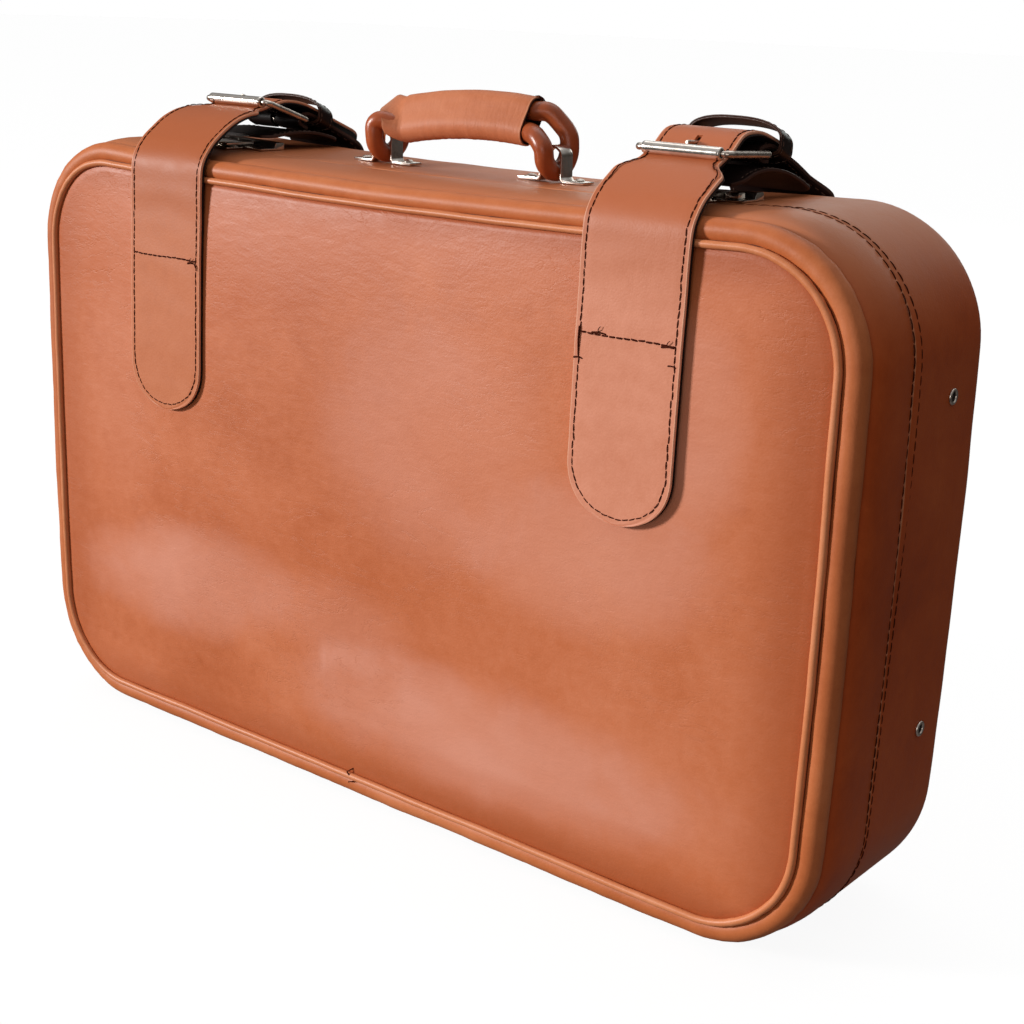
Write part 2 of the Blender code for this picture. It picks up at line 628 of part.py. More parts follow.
core = []
right = smooth_path(eye_points(1), 2)
left = smooth_path(eye_points(-1)[::-1], 2)
core += [tuple(q) for q in right]
for i in range(1, 10):
    x = 0.050 - 0.010 * i
    core.append((x, RUN_Y, grip_z(x) + RUN_Z))
core += [tuple(q) for q in left]
for i in range(1, 10):
    x = -0.050 + 0.010 * i
    core.append((x, -RUN_Y, grip_z(x) - RUN_Z))
HY = HANDLE_D - DEPTH_MID
tube("handle_core", [(x, y + HY, z) for x, y, z in core], CORE_R, TAN_DARK, 0.42, cyclic=True, res=2,
     origin=(0, HY, PIVOT_Z))


def stadium(r, n=6):
    """Section of the grip across X: two half rounds about the two runs."""
    base = math.atan2(RUN_Z, RUN_Y)
    pts = []
    for cy, cz, a0 in ((RUN_Y, RUN_Z, base - math.pi / 2), (-RUN_Y, -RUN_Z, base + math.pi / 2)):
        for i in range(n + 1):
            a = a0 + math.pi * i / n
            pts.append((cy + r * math.cos(a), cz + r * math.sin(a)))
    return pts


so, si = stadium(CORE_R + 0.0025, 5), stadium(CORE_R + 0.0012, 5)
xs = [-0.0500, -0.0400, -0.0250, -0.0100, 0.0050, 0.0200, 0.0350, 0.0500]
m = len(so)
verts, faces = [], []
for sec in (so, si):
    for x in xs:
        slope = math.atan(-2.8 * (x - 0.018))
        for y, z in sec:
            verts.append((x - z * math.sin(slope) * 0.9, HY + y, grip_z(x) + z))
k = len(xs)
for s in (0, 1):
    for i in range(k - 1):
        for j in range(m):
            j2 = (j + 1) % m
            b0 = s * k * m
            faces.append((b0 + i * m + j, b0 + i * m + j2, b0 + (i + 1) * m + j2, b0 + (i + 1) * m + j))
for i in (0, k - 1):
    for j in range(m):
        j2 = (j + 1) % m
        faces.append((i * m + j, i * m + j2, k * m + i * m + j2, k * m + i * m + j))
solid("handle_grip", verts, faces, TAN, 0.42, origin=(0, HY, PIVOT_Z))

# brackets: an arched strip over each eye, riveted through its two feet
BR_Z = 0.4130
for side, s in (("left", -1), ("right", 1)):
    out = [(-0.0250, 0.0), (-0.0250, 0.0015), (-0.0100, 0.0015), (-0.0088, 0.0030), (-0.0086, 0.0150)]
    for a in (160, 130, 100, 80, 50, 20):
        out.append((0.0087 * math.cos(math.radians(a)), 0.0150 + 0.0071 * math.sin(math.radians(a))))
    out += [(0.0086, 0.0150), (0.0088, 0.0030), (0.0100, 0.0015), (0.0250, 0.0015), (0.0250, 0.0)]
    inn = [(0.0093, 0.0), (0.0073, 0.0022), (0.0071, 0.0148)]
    for a in (20, 50, 80, 100, 130, 160):
        inn.append((0.0072 * math.cos(math.radians(a)), 0.0148 + 0.0057 * math.sin(math.radians(a))))
    inn += [(-0.0071, 0.0148), (-0.0073, 0.0022), (-0.0093, 0.0)]
    sec = out + inn
    mm = len(sec)
    verts = [at(s * BRACKET_X + u, d, BR_Z + w) for d in (HANDLE_D - 0.0055, HANDLE_D + 0.0055) for u, w in sec]
    faces = [tuple(range(mm)), tuple(range(mm, 2 * mm))]
    for i in range(mm):
        k2 = (i + 1) % mm
        faces.append((i, k2, mm + k2, mm + i))
    solid("handle_bracket_" + side, verts, faces, NICKEL, 0.28, metal=1.0)
    for w, u in (("outer", 0.0185), ("inner", -0.0185)):
        turned("bracket_rivet_%s_%s" % (w, side), at(s * BRACKET_X + s * u, HANDLE_D, BR_Z + 0.0018), (0, 0, 1),
               [(0.0, 0.0), (0.0, 0.0032), (0.0006, 0.0030), (0.0012, 0.0018), (0.0014, 0.0)], 10, NICKEL, 0.3,
               metal=1.0, closed=False)

# ---------------------------------------------------------------- packing straps inside the base, and their eyelets
for nm, z, d in (("upper", 0.3210, 0.1010), ("lower", 0.1250, 0.1060)):
    wall = case_loop(LINE + 0.0010)
    x1 = W2 - LINE - 0.0010 + SIDE_BOW * (1 - ((z - ZC) / H2) ** 2) - 0.0006
    sag = [(-x1, 0.0), (-x1 + 0.0040, 0.0), (-0.2600, 0.0030), (-0.0200, 0.0045), (-0.0190, 0.0045), (0.0190, 0.0045),
           (0.0200, 0.0045), (0.2600, 0.0030), (x1 - 0.0040, 0.0), (x1, 0.0)]
    t = 0.0012
    path = [(-x1 + 0.0004, d - 0.012), (-x1 + 0.0004, d + 0.006), (-x1 + 0.0060, d + 0.0120), (-0.2600, d + 0.0200),
            (0.0, d + 0.0230), (0.2600, d + 0.0200), (x1 - 0.0060, d + 0.0120), (x1 - 0.0004, d + 0.006),
            (x1 - 0.0004, d - 0.012)]
    nn = len(path)
    verts = []
    for sd in (1, -1):
        for i in range(nn):
            a, b = path[max(0, i - 1)], path[min(nn - 1, i + 1)]
            tx, ty = b[0] - a[0], b[1] - a[1]
            ln = math.hypot(tx, ty)
            px, pd = path[i][0] - ty / ln * sd * t / 2, path[i][1] + tx / ln * sd * t / 2
            px = max(-x1, min(x1, px))
            for zz in (z - 0.0125, z + 0.0125):
                verts.append(at(px, pd, zz))
    faces = []
    for i in range(nn - 1):
        for sd in (0, 1):
            b0 = sd * nn * 2
            faces.append((b0 + 2 * i, b0 + 2 * i + 1, b0 + 2 * i + 3, b0 + 2 * i + 2))
        for e in (0, 1):
            faces.append((2 * i + e, 2 * i + 2 + e, nn * 2 + 2 * i + 2 + e, nn * 2 + 2 * i + e))
    for i in (0, nn - 1):
        faces.append((2 * i, 2 * i + 1, nn * 2 + 2 * i + 1, nn * 2 + 2 * i))
    solid("packing_strap_" + nm, verts, faces, TAN_DARK, 0.7)
    # slide buckle: a rectangular frame lying on the strap
    fz0, fz1, fx0, fx1 = z - 0.0165, z + 0.0165, -0.0120, 0.0120
    rim = 0.0030
    d0, d1 = d + 0.0195, d + 0.0217
    verts, faces = [], []
    for dd in (d0, d1):
        for a0, b0_, c0_, e0 in ((fx0, fx1, fz0, fz1), (fx0 + rim, fx1 - rim, fz0 + rim, fz1 - rim)):
            verts += [at(a0, dd, c0_), at(b0_, dd, c0_), at(b0_, dd, e0), at(a0, dd, e0)]
    for a, b in ((0, 4), (8, 12)):
        for j in range(4):
            j2 = (j + 1) % 4
            faces.append((a + j, a + j2, b + j2, b + j))
    for a, b in ((0, 8), (4, 12)):
        for j in range(4):
            j2 = (j + 1) % 4
            faces.append((a + j, a + j2, b + j2, b + j))
    solid("packing_buckle_" + nm, verts, faces, NICKEL, 0.35, metal=1.0)
    for side, s in (("left", -1), ("right", 1)):
        x = s * (W2 + SIDE_BOW * (1 - ((z - ZC) / H2) ** 2) + 0.0003)
        turned("eyelet_%s_%s" % (nm, side), at(x, d, z), (s, 0, 0),
               [(0.0, 0.0022), (0.0, 0.0048), (0.0006, 0.0047), (0.0011, 0.0038), (0.0010, 0.0028), (0.0003, 0.0021)],
               14, NICKEL, 0.3, metal=1.0)
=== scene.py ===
import math

import bmesh
import bpy
import numpy as np
from mathutils import Matrix, Vector, noise


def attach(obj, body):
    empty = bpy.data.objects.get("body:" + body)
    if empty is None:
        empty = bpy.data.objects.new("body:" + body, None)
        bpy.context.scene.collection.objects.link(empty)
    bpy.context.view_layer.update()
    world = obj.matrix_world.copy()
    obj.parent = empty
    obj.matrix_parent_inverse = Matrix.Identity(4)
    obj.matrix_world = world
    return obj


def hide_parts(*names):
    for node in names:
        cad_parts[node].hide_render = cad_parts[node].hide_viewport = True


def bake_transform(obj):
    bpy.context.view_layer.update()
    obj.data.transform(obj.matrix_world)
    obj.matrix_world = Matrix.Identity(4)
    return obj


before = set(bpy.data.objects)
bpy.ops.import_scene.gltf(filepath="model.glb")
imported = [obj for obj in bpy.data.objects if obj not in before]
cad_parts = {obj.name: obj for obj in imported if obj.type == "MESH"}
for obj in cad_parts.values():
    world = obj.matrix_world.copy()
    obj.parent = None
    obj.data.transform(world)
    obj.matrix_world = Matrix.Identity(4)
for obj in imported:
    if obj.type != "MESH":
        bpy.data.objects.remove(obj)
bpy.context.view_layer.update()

# ---------------------------------------------------------------- dimensions, as in the CAD (metres)
CASE_L, CASE_H, CORNER_R = 0.660, 0.421, 0.078
SIDE_BOW, TOP_SAG = 0.0035, 0.009
DEPTH_MID, SPLIT, BACK, BACK_ROUND = 0.07841, 0.0525, 0.146, 0.018
GAP, LEATHER, BOARD, CROWN = 0.0003, 0.0014, 0.0032, 0.0075
PIPE_OFF, PIPE_R = 0.0202, 0.0021
ROLL_OFF, ROLL_RO, ROLL_RD, ROLL_DEPTH = 0.0108, 0.0074, 0.0075, 0.0085
STRAP_X = {"left": -0.186, "right": 0.192}
STRAP_W, TAIL_W, STRAP_T = 0.070, 0.052, 0.0030
ROLLER = {"left": (0.0590, 0.4462), "right": (0.0355, 0.4431)}
BAR = {"left": (0.0975, 0.4335), "right": (0.0780, 0.4414)}
ROLLER_R, ROLLER_LEN, BAR_R, FRAME_HALF, PRONG_R = 0.0030, 0.0540, 0.0016, 0.0300, 0.0013
KEEPER_D = {"left": (0.1075, 0.1205), "right": (0.0870, 0.1000)}
HANDLE_D, BRACKET_X, PIVOT_Z, CORE_R = 0.085, 0.0695, 0.4320, 0.0060
RUN_Y, RUN_Z, EYE_R = 0.0030, 0.0063, 0.0130
LOCK_Z, LOCK_TILT = 0.4151, math.radians(2.0)
HINGE_HALF, HINGE_FLAT = 0.0115, 0.2400
W2, H2, ZC = CASE_L / 2, CASE_H / 2, CASE_H / 2
LINE = 0.0018 + BOARD + GAP
FR = LINE + 0.0021
HY = HANDLE_D - DEPTH_MID


# ---------------------------------------------------------------- materials
def srgb(r, g, b):
    """Linear colour of an 8-bit sRGB one."""
    out = []
    for v in (r, g, b):
        v /= 255
        out.append(v / 12.92 if v <= 0.04045 else ((v + 0.055) / 1.055) ** 2.4)
    return tuple(out) + (1.0,)


class Nodes:
    """A material's node tree, with short calls for the nodes used here."""

    def __init__(self, name):
        self.mat = bpy.data.materials.new(name)
        self.mat.use_nodes = True
        self.tree = self.mat.node_tree
        self.bsdf = self.tree.nodes["Principled BSDF"]
        self.coord = self.add("ShaderNodeTexCoord").outputs["Object"]

    def add(self, kind, **props):
        n = self.tree.nodes.new(kind)
        for k, v in props.items():
            setattr(n, k, v)
        return n

    def link(self, a, b):
        self.tree.links.new(a, b)

    def put(self, sock, value):
        if isinstance(value, bpy.types.NodeSocket):
            self.link(value, sock)
        else:
            sock.default_value = value

    def mapped(self, scale, rot=(0, 0, 0), loc=(0, 0, 0)):
        m = self.add("ShaderNodeMapping")
        m.inputs["Scale"].default_value = scale
        m.inputs["Rotation"].default_value = rot
        m.inputs["Location"].default_value = loc
        self.link(self.coord, m.inputs["Vector"])
        return m.outputs["Vector"]

    def noise(self, scale, detail=4.0, rough=0.55, distort=0.0, vec=None):
        n = self.add("ShaderNodeTexNoise")
        n.inputs["Scale"].default_value = scale
        n.inputs["Detail"].default_value = detail
        n.inputs["Roughness"].default_value = rough
        n.inputs["Distortion"].default_value = distort
        self.link(vec if vec is not None else self.coord, n.inputs["Vector"])
        return n.outputs["Fac"]

    def voronoi(self, scale, feature="F1", out="Distance", vec=None, rand=1.0):
        n = self.add("ShaderNodeTexVoronoi", feature=feature)
        n.inputs["Scale"].default_value = scale
        n.inputs["Randomness"].default_value = rand
        self.link(vec if vec is not None else self.coord, n.inputs["Vector"])
        return n.outputs[out]

    def math(self, op, a, b=0.0, c=0.0, clamp=False):
        n = self.add("ShaderNodeMath", operation=op, use_clamp=clamp)
        self.put(n.inputs[0], a)
        self.put(n.inputs[1], b)
        if op in ("MULTIPLY_ADD",):
            self.put(n.inputs[2], c)
        return n.outputs[0]

    def band(self, value, lo, hi, a=0.0, b=1.0):
        """value from lo..hi to a..b, smoothly and clamped."""
        n = self.add("ShaderNodeMapRange", interpolation_type="SMOOTHSTEP", clamp=True)
        self.put(n.inputs["Value"], value)
        n.inputs["From Min"].default_value = lo
        n.inputs["From Max"].default_value = hi
        n.inputs["To Min"].default_value = a
        n.inputs["To Max"].default_value = b
        return n.outputs["Result"]

    def ramp(self, value, stops):
        n = self.add("ShaderNodeValToRGB")
        els = n.color_ramp.elements
        while len(els) > 1:
            els.remove(els[-1])
        els[0].position, els[0].color = stops[0]
        for p, c in stops[1:]:
            e = els.new(p)
            e.color = c
        self.link(value, n.inputs["Fac"])
        return n.outputs["Color"]

    def mix(self, fac, a, b, blend="MIX"):
        n = self.add("ShaderNodeMix", data_type="RGBA", blend_type=blend)
        self.put(n.inputs[0], fac)
        self.put(n.inputs[6], a)
        self.put(n.inputs[7], b)
        return n.outputs[2]

    def bump(self, height, strength, distance, normal=None):
        n = self.add("ShaderNodeBump")
        n.inputs["Strength"].default_value = strength
        n.inputs["Distance"].default_value = distance
        self.link(height, n.inputs["Height"])
        if normal is not None:
            self.link(normal, n.inputs["Normal"])
        return n.outputs["Normal"]

    def attr(self, name):
        return self.add("ShaderNodeAttribute", attribute_name=name).outputs["Fac"]


def leather(name, deep, mid, light, rough=(0.40, 0.55), wrinkle=1.0, grain=1.0, painted_sheen=None, patch=1.0,
            stretch=(1.0, 1.0, 3.2), sheen=0.03, spec=0.45, edge=None, seed=0.0, top=None):
    """Finished smooth leather: blotchy dye, fine pores, soft creases running one way with painted shade in them, rubbed
    places; optionally painted sheen patches, painted shade round the border and a tone towards the top.
    """
    n = Nodes(name)
    at0 = n.mapped((1, 1, 1), loc=(seed, seed * 0.7, -seed * 0.4))
    big = n.noise(4.2, 3.0, 0.55, 0.4, at0)
    mid_n = n.noise(19.0, 5.0, 0.6, 0.5, at0)
    small = n.noise(130.0, 4.0, 0.6, 0.0, at0)
    fine = n.noise(900.0, 3.0, 0.65, 0.0, at0)
    v = n.math("MULTIPLY_ADD", big, 0.58 * patch, 0.5 - 0.29 * patch)
    v = n.math("ADD", v, n.math("MULTIPLY", n.math("SUBTRACT", mid_n, 0.5), 0.36 * patch))
    v = n.math("ADD", v, n.math("MULTIPLY", n.math("SUBTRACT", small, 0.5), 0.16))
    v = n.math("ADD", v, n.math("MULTIPLY", n.math("SUBTRACT", fine, 0.5), 0.10))
    color = n.ramp(v, [(0.30, deep), (0.50, mid), (0.70, light)])
    if painted_sheen is not None:
        # painted sheen: paler, rosier patches standing in for the broad reflection of the room on the finish; broad,
        # lying along the case, mostly low on its right half
        sepc = n.add("ShaderNodeSeparateXYZ")
        n.link(n.coord, sepc.inputs["Vector"])
        xx, zz = sepc.outputs["X"], sepc.outputs["Z"]

        def blob(cx, cz, rx, rz, tilt, amount):
            ca, sa = math.cos(tilt), math.sin(tilt)
            u = n.math("MULTIPLY_ADD", xx, ca / rx, n.math("MULTIPLY_ADD", zz, sa / rx, -(cx * ca + cz * sa) / rx))
            v = n.math("MULTIPLY_ADD", xx, -sa / rz, n.math("MULTIPLY_ADD", zz, ca / rz, (cx * sa - cz * ca) / rz))
            q = n.math("ADD", n.math("MULTIPLY", u, u), n.math("MULTIPLY", v, v))
            wob = n.math("MULTIPLY", n.math("SUBTRACT", mid_n, 0.5), 1.2)
            return n.math("MULTIPLY", n.band(n.math("ADD", q, wob), 0.0, 1.15, 1.0, 0.0), amount)

        total = blob(0.095, 0.076, 0.185, 0.050, 0.0, 0.95)
        for b in ((0.05, 0.265, 0.10, 0.090, 0.0, 0.48), (-0.17, 0.120, 0.13, 0.045, 0.10, 0.80), (0.17, 0.215, 0.10, 0.050, 0.1, 0.72),
                  (-0.09, 0.370, 0.10, 0.035, 0.0, 0.14), (-0.24, 0.250, 0.05, 0.100, 0.0, 0.16), (0.235, 0.300, 0.04, 0.070, 0.0, 0.55),
                  (-0.03, 0.125, 0.08, 0.035, 0.0, 0.35)):
            total = n.math("ADD", total, blob(*b))
        hz = n.noise(9.0, 2.5, 0.5, 0.3, n.mapped((1, 1, 1.8), loc=(3.1 + seed, 1.7, 0.4)))
        total = n.math("MULTIPLY", total, n.band(hz, 0.25, 0.75, 0.65, 1.15))
        color = n.mix(n.math("MINIMUM", n.math("MULTIPLY", total, 0.9), 0.92), color, painted_sheen)
        # richer orange between them
        deepb = blob(-0.05, 0.175, 0.30, 0.030, -0.06, 0.32)
        for b in ((0.12, 0.045, 0.25, 0.018, 0.0, 0.45), (-0.19, 0.370, 0.24, 0.080, 0.0, 1.25), (0.29, 0.36, 0.035, 0.06, 0.0, 0.4), (0.05, 0.388, 0.30, 0.034, 0.0, 0.8)):
            deepb = n.math("ADD", deepb, blob(*b))
        color = n.mix(n.math("MULTIPLY", n.math("MINIMUM", deepb, 1.0), 0.55), color, srgb(186, 92, 42))
        # painted shade: darker round the panel's border, where the crown falls away into the piping's groove, most of
        # all on the right
        bx = n.math("MULTIPLY", n.math("ABSOLUTE", xx), 1 / 0.306)
        bz = n.math("MULTIPLY", n.math("ABSOLUTE", n.math("SUBTRACT", zz, 0.2105)), 1 / 0.187)
        rim = n.math("ADD", n.math("MAXIMUM", bx, bz), n.math("MULTIPLY", n.math("SUBTRACT", mid_n, 0.5), 0.10))
        rim = n.math("MULTIPLY", n.band(rim, 0.87, 1.02), n.band(xx, -0.30, 0.22, 0.46, 0.80))
        color = n.mix(rim, color, srgb(166, 80, 38))
    if top is not None:
        # a tone blended in towards the top, by height: on the straps, handled most there, the dye is deeper; on the
        # bands it is a paler, browner painted sheen where the top catches the sky
        sept = n.add("ShaderNodeSeparateXYZ")
        n.link(n.coord, sept.inputs["Vector"])
        high = n.math("ADD", sept.outputs["Z"], n.math("MULTIPLY", n.math("SUBTRACT", big, 0.5), 0.05))
        color = n.mix(n.band(high, 0.345, 0.422, 0.0, 0.92), color, top)
    # creases: the colour is darkened along them as painted shade in the folds; their relief is the bump further down
    lines = n.noise(15.0, 6.0, 0.62, 1.2, n.mapped(stretch, rot=(0.0, 0.12, 0.0), loc=(seed, 0.3, 0.2)))
    ridge = n.math("ABSOLUTE", n.math("SUBTRACT", lines, 0.5))
    where = n.band(n.noise(6.5, 3.0, 0.5, 0.0, n.mapped((1, 1, 1), loc=(7.7, seed, 2.2))), 0.50, 0.66)
    crease = n.math("MULTIPLY", n.band(ridge, 0.0, 0.016, 1.0, 0.0), where)
    lines2 = n.noise(46.0, 5.0, 0.6, 0.8, n.mapped(stretch, rot=(0.1, -0.16, 0.05), loc=(0.9, seed, 0.1)))
    ridge2 = n.math("ABSOLUTE", n.math("SUBTRACT", lines2, 0.5))
    where2 = n.band(n.noise(9.0, 2.0, 0.5, 0.0, n.mapped((1, 1, 1), loc=(1.3, 4.4 + seed, 0.2))), 0.54, 0.70)
    crease2 = n.math("MULTIPLY", n.band(ridge2, 0.0, 0.022, 1.0, 0.0), where2)
    creases = n.math("ADD", crease, n.math("MULTIPLY", crease2, 0.6), clamp=True)
    color = n.mix(n.math("MULTIPLY", creases, 0.15 * wrinkle), color, deep)
    # pale and dark specks
    cells = n.add("ShaderNodeTexVoronoi", feature="F1")
    cells.inputs["Scale"].default_value = 95.0
    n.link(at0, cells.inputs["Vector"])
    sep = n.add("ShaderNodeSeparateColor")
    n.link(cells.outputs["Color"], sep.inputs["Color"])
    dot = n.math("MULTIPLY", n.band(cells.outputs["Distance"], 0.035, 0.075, 1.0, 0.0),
                 n.math("GREATER_THAN", sep.outputs["Red"], 0.93))
    color = n.mix(n.math("MULTIPLY", dot, 0.35), color, light)
    dot2 = n.math("MULTIPLY", n.band(cells.outputs["Distance"], 0.03, 0.065, 1.0, 0.0),
                  n.math("GREATER_THAN", sep.outputs["Green"], 0.95))
    color = n.mix(n.math("MULTIPLY", dot2, 0.35), color, deep)
    if edge is not None:
        color = n.mix(n.band(n.attr("edge"), 0.15, 0.9, 0.0, 0.85), color, edge)
    n.link(color, n.bsdf.inputs["Base Color"])
    r = n.math("MULTIPLY_ADD", mid_n, rough[1] - rough[0], rough[0])
    r = n.math("ADD", r, n.math("MULTIPLY", n.math("SUBTRACT", small, 0.5), 0.12))
    n.link(n.math("MAXIMUM", r, 0.22), n.bsdf.inputs["Roughness"])
    n.bsdf.inputs["Specular IOR Level"].default_value = spec
    n.bsdf.inputs["Sheen Weight"].default_value = sheen
    n.bsdf.inputs["Sheen Roughness"].default_value = 0.5
    # relief: pores, pebble grain, creases
    pores = n.voronoi(620.0, vec=n.mapped((1, 1, 1), loc=(0.2, 0.1 + seed, 0.3)))
    grain_h = n.math("MULTIPLY_ADD", pores, -0.5, n.math("MULTIPLY", fine, 0.9))
    nrm = n.bump(grain_h, 0.16 * grain, 0.0005)
    soft = n.noise(70.0, 4.0, 0.55, 0.3, n.mapped((stretch[0], stretch[1], stretch[2] * 0.7)))
    nrm = n.bump(soft, 0.20 * wrinkle, 0.0012, nrm)
    nrm = n.bump(n.math("MULTIPLY", creases, -1.0), 0.19 * wrinkle, 0.0010, nrm)
    n.link(nrm, n.bsdf.inputs["Normal"])
    return n.mat


def metal(name, tint, dull, rough=(0.16, 0.34)):
    """Nickel plate: bright, with faint scratches, a milky film and duller spots."""
    n = Nodes(name)
    blot = n.noise(120.0, 4.0, 0.6, 0.4)
    spots = n.noise(420.0, 4.0, 0.65)
    scratch = n.noise(260.0, 3.0, 0.6, 0.1, n.mapped((1.0, 14.0, 14.0), rot=(0.2, 0.4, 0.3)))
    v = n.math("MULTIPLY_ADD", blot, 0.6, n.math("MULTIPLY", spots, 0.4))
    n.link(n.ramp(v, [(0.34, dull), (0.56, tint), (0.75, tuple(min(1, c * 1.08) for c in tint[:3]) + (1,))]),
           n.bsdf.inputs["Base Color"])
    n.bsdf.inputs["Metallic"].default_value = 1.0
    r = n.math("MULTIPLY_ADD", spots, rough[1] - rough[0], rough[0])
    r = n.math("ADD", r, n.math("MULTIPLY", n.math("SUBTRACT", scratch, 0.5), 0.03))
    n.link(n.math("MAXIMUM", r, 0.08), n.bsdf.inputs["Roughness"])
    nrm = n.bump(n.math("ADD", scratch, n.math("MULTIPLY", spots, 0.5)), 0.02, 0.00002)
    n.link(nrm, n.bsdf.inputs["Normal"])
    return n.mat


def thread(name, tone, light, spec=0.12):
    """Waxed linen thread: two plies twisted together."""
    n = Nodes(name)
    ply = n.noise(1400.0, 2.0, 0.5, 0.6)
    n.link(n.ramp(ply, [(0.35, tone), (0.7, light)]), n.bsdf.inputs["Base Color"])
    n.bsdf.inputs["Roughness"].default_value = 0.7
    n.bsdf.inputs["Specular IOR Level"].default_value = spec
    w = n.add("ShaderNodeTexWave", wave_type="BANDS", bands_direction="DIAGONAL")
    w.inputs["Scale"].default_value = 1300.0
    n.link(n.coord, w.inputs["Vector"])
    n.link(n.bump(w.outputs["Fac"], 0.35, 0.0002), n.bsdf.inputs["Normal"])
    return n.mat


def cloth(name, a, b, shade):
    """Plain woven lining glued to the board: crossed yarns, soft uneven fading."""
    n = Nodes(name)
    wx = n.add("ShaderNodeTexWave", wave_type="BANDS", bands_direction="X")
    wz = n.add("ShaderNodeTexWave", wave_type="BANDS", bands_direction="Z")
    for w in (wx, wz):
        w.inputs["Scale"].default_value = 380.0
        w.inputs["Distortion"].default_value = 1.2
        w.inputs["Detail"].default_value = 2.0
        n.link(n.coord, w.inputs["Vector"])
    weave = n.math("MAXIMUM", wx.outputs["Fac"], wz.outputs["Fac"])
    fade = n.noise(7.0, 4.0, 0.55, 0.3)
    slub = n.noise(70.0, 4.0, 0.6, 0.0, n.mapped((1, 1, 7)))
    v = n.math("MULTIPLY_ADD", fade, 0.7, n.math("MULTIPLY", slub, 0.3))
    color = n.ramp(v, [(0.35, shade), (0.50, a), (0.66, b)])
    color = n.mix(n.math("MULTIPLY", n.math("SUBTRACT", 1.0, weave), 0.30), color, shade)
    n.link(color, n.bsdf.inputs["Base Color"])
    n.bsdf.inputs["Roughness"].default_value = 0.9
    n.bsdf.inputs["Sheen Weight"].default_value = 0.35
    n.link(n.bump(weave, 0.45, 0.0004), n.bsdf.inputs["Normal"])
    return n.mat


def board(name, a, b):
    """Pressed fibreboard: short fibres and flecks."""
    n = Nodes(name)
    fibre = n.noise(240.0, 6.0, 0.7, 1.5, n.mapped((1, 3, 1)))
    n.link(n.ramp(fibre, [(0.35, a), (0.65, b)]), n.bsdf.inputs["Base Color"])
    n.bsdf.inputs["Roughness"].default_value = 0.85
    n.link(n.bump(fibre, 0.4, 0.0005), n.bsdf.inputs["Normal"])
    return n.mat


# panel leather, with painted sheen patches and painted shade round its border
TAN = leather("tan_leather", srgb(178, 90, 46), srgb(200, 112, 70), srgb(214, 130, 92), painted_sheen=srgb(221, 150, 126),
              edge=srgb(226, 168, 134), patch=0.85, spec=0.35, sheen=0.0)
# bands: darker and more saturated than the panel leather, partly their own deeper tone and partly painted shade of the
# side walls; their top tone is painted sheen
TAN_SIDE = leather("tan_leather_bands", srgb(154, 60, 20), srgb(180, 78, 30), srgb(198, 97, 46), wrinkle=0.45, patch=0.9,
                   stretch=(1.0, 2.2, 1.0), edge=srgb(206, 140, 104), seed=2.0, sheen=0.0, spec=0.22, top=srgb(186, 112, 72))
TAN_STRAP = leather("tan_leather_strap_left", srgb(174, 94, 54), srgb(196, 113, 72), srgb(208, 128, 88), wrinkle=0.35, patch=0.5,
                    stretch=(2.6, 1.0, 1.0), edge=srgb(218, 152, 118), seed=4.0, rough=(0.44, 0.58), sheen=0.0, spec=0.30, top=srgb(172, 90, 48))
# right strap: a paler, pinker copy of the left strap's leather, carrying the painted sheen that lies on the right of
# the case
TAN_STRAP_R_SHEEN = leather("tan_leather_strap_right_painted_sheen", srgb(196, 116, 82), srgb(216, 140, 110), srgb(228, 158, 130), wrinkle=0.35, patch=0.5,
                      stretch=(2.6, 1.0, 1.0), edge=srgb(228, 168, 138), seed=4.0, rough=(0.44, 0.58), sheen=0.0, spec=0.30, top=srgb(178, 95, 54))
TAN_GRIP = leather("tan_leather_grip", srgb(168, 90, 52), srgb(192, 114, 76), srgb(208, 134, 96), wrinkle=1.5, patch=0.8,
                   stretch=(6.0, 1.4, 1.4), edge=srgb(206, 140, 104), seed=9.0, rough=(0.46, 0.62), sheen=0.0, spec=0.28)
TAN_ROLL = leather("tan_leather_roll", srgb(170, 86, 42), srgb(194, 108, 60), srgb(212, 130, 84), wrinkle=0.35, patch=0.8,
                   stretch=(1.5, 1.0, 1.5), seed=6.0, rough=(0.44, 0.58), sheen=0.0, spec=0.34)
# piping: paler than the roll, partly the cord's own lighter tone and partly a painted highlight on the round cord
TAN_PIPE = leather("tan_leather_piping", srgb(184, 100, 54), srgb(208, 126, 80), srgb(224, 150, 108), wrinkle=0.3, patch=0.6,
                   stretch=(1.5, 1.0, 1.5), seed=7.0, rough=(0.40, 0.52), sheen=0.0, spec=0.42)
BROWN = leather("brown_leather", srgb(128, 56, 26), srgb(168, 82, 42), srgb(192, 106, 62), wrinkle=0.4, patch=0.9, sheen=0.0,
                stretch=(1.0, 1.0, 1.0), seed=8.0, rough=(0.26, 0.40), spec=0.5)
BLACK = leather("black_leather", srgb(16, 8, 7), srgb(27, 15, 13), srgb(46, 27, 23), wrinkle=0.5, patch=1.0, sheen=0.0,
                stretch=(2.0, 1.0, 1.0), seed=10.0, rough=(0.44, 0.60), spec=0.16, edge=srgb(70, 46, 38))
KEEPER = leather("keeper_leather", srgb(18, 8, 6), srgb(30, 14, 11), srgb(52, 27, 20), wrinkle=0.6, patch=1.0, sheen=0.0,
                 stretch=(1.0, 2.0, 1.0), seed=12.0, rough=(0.30, 0.46), spec=0.32, edge=srgb(74, 48, 38))
NICKEL = metal("nickel", srgb(236, 228, 220), srgb(206, 196, 186), rough=(0.14, 0.26))
NICKEL_DULL = metal("nickel_worn", srgb(214, 204, 194), srgb(158, 144, 132), rough=(0.20, 0.36))
THREAD = thread("thread_dark", srgb(50, 16, 8), srgb(88, 36, 20), 0.04)
THREAD_PALE = thread("thread_on_black", srgb(70, 52, 46), srgb(128, 104, 92))
CLOTH = cloth("lining_cloth", srgb(176, 152, 120), srgb(194, 172, 140), srgb(128, 104, 78))
BOARD_MAT = board("fibreboard", srgb(112, 84, 60), srgb(152, 122, 92))


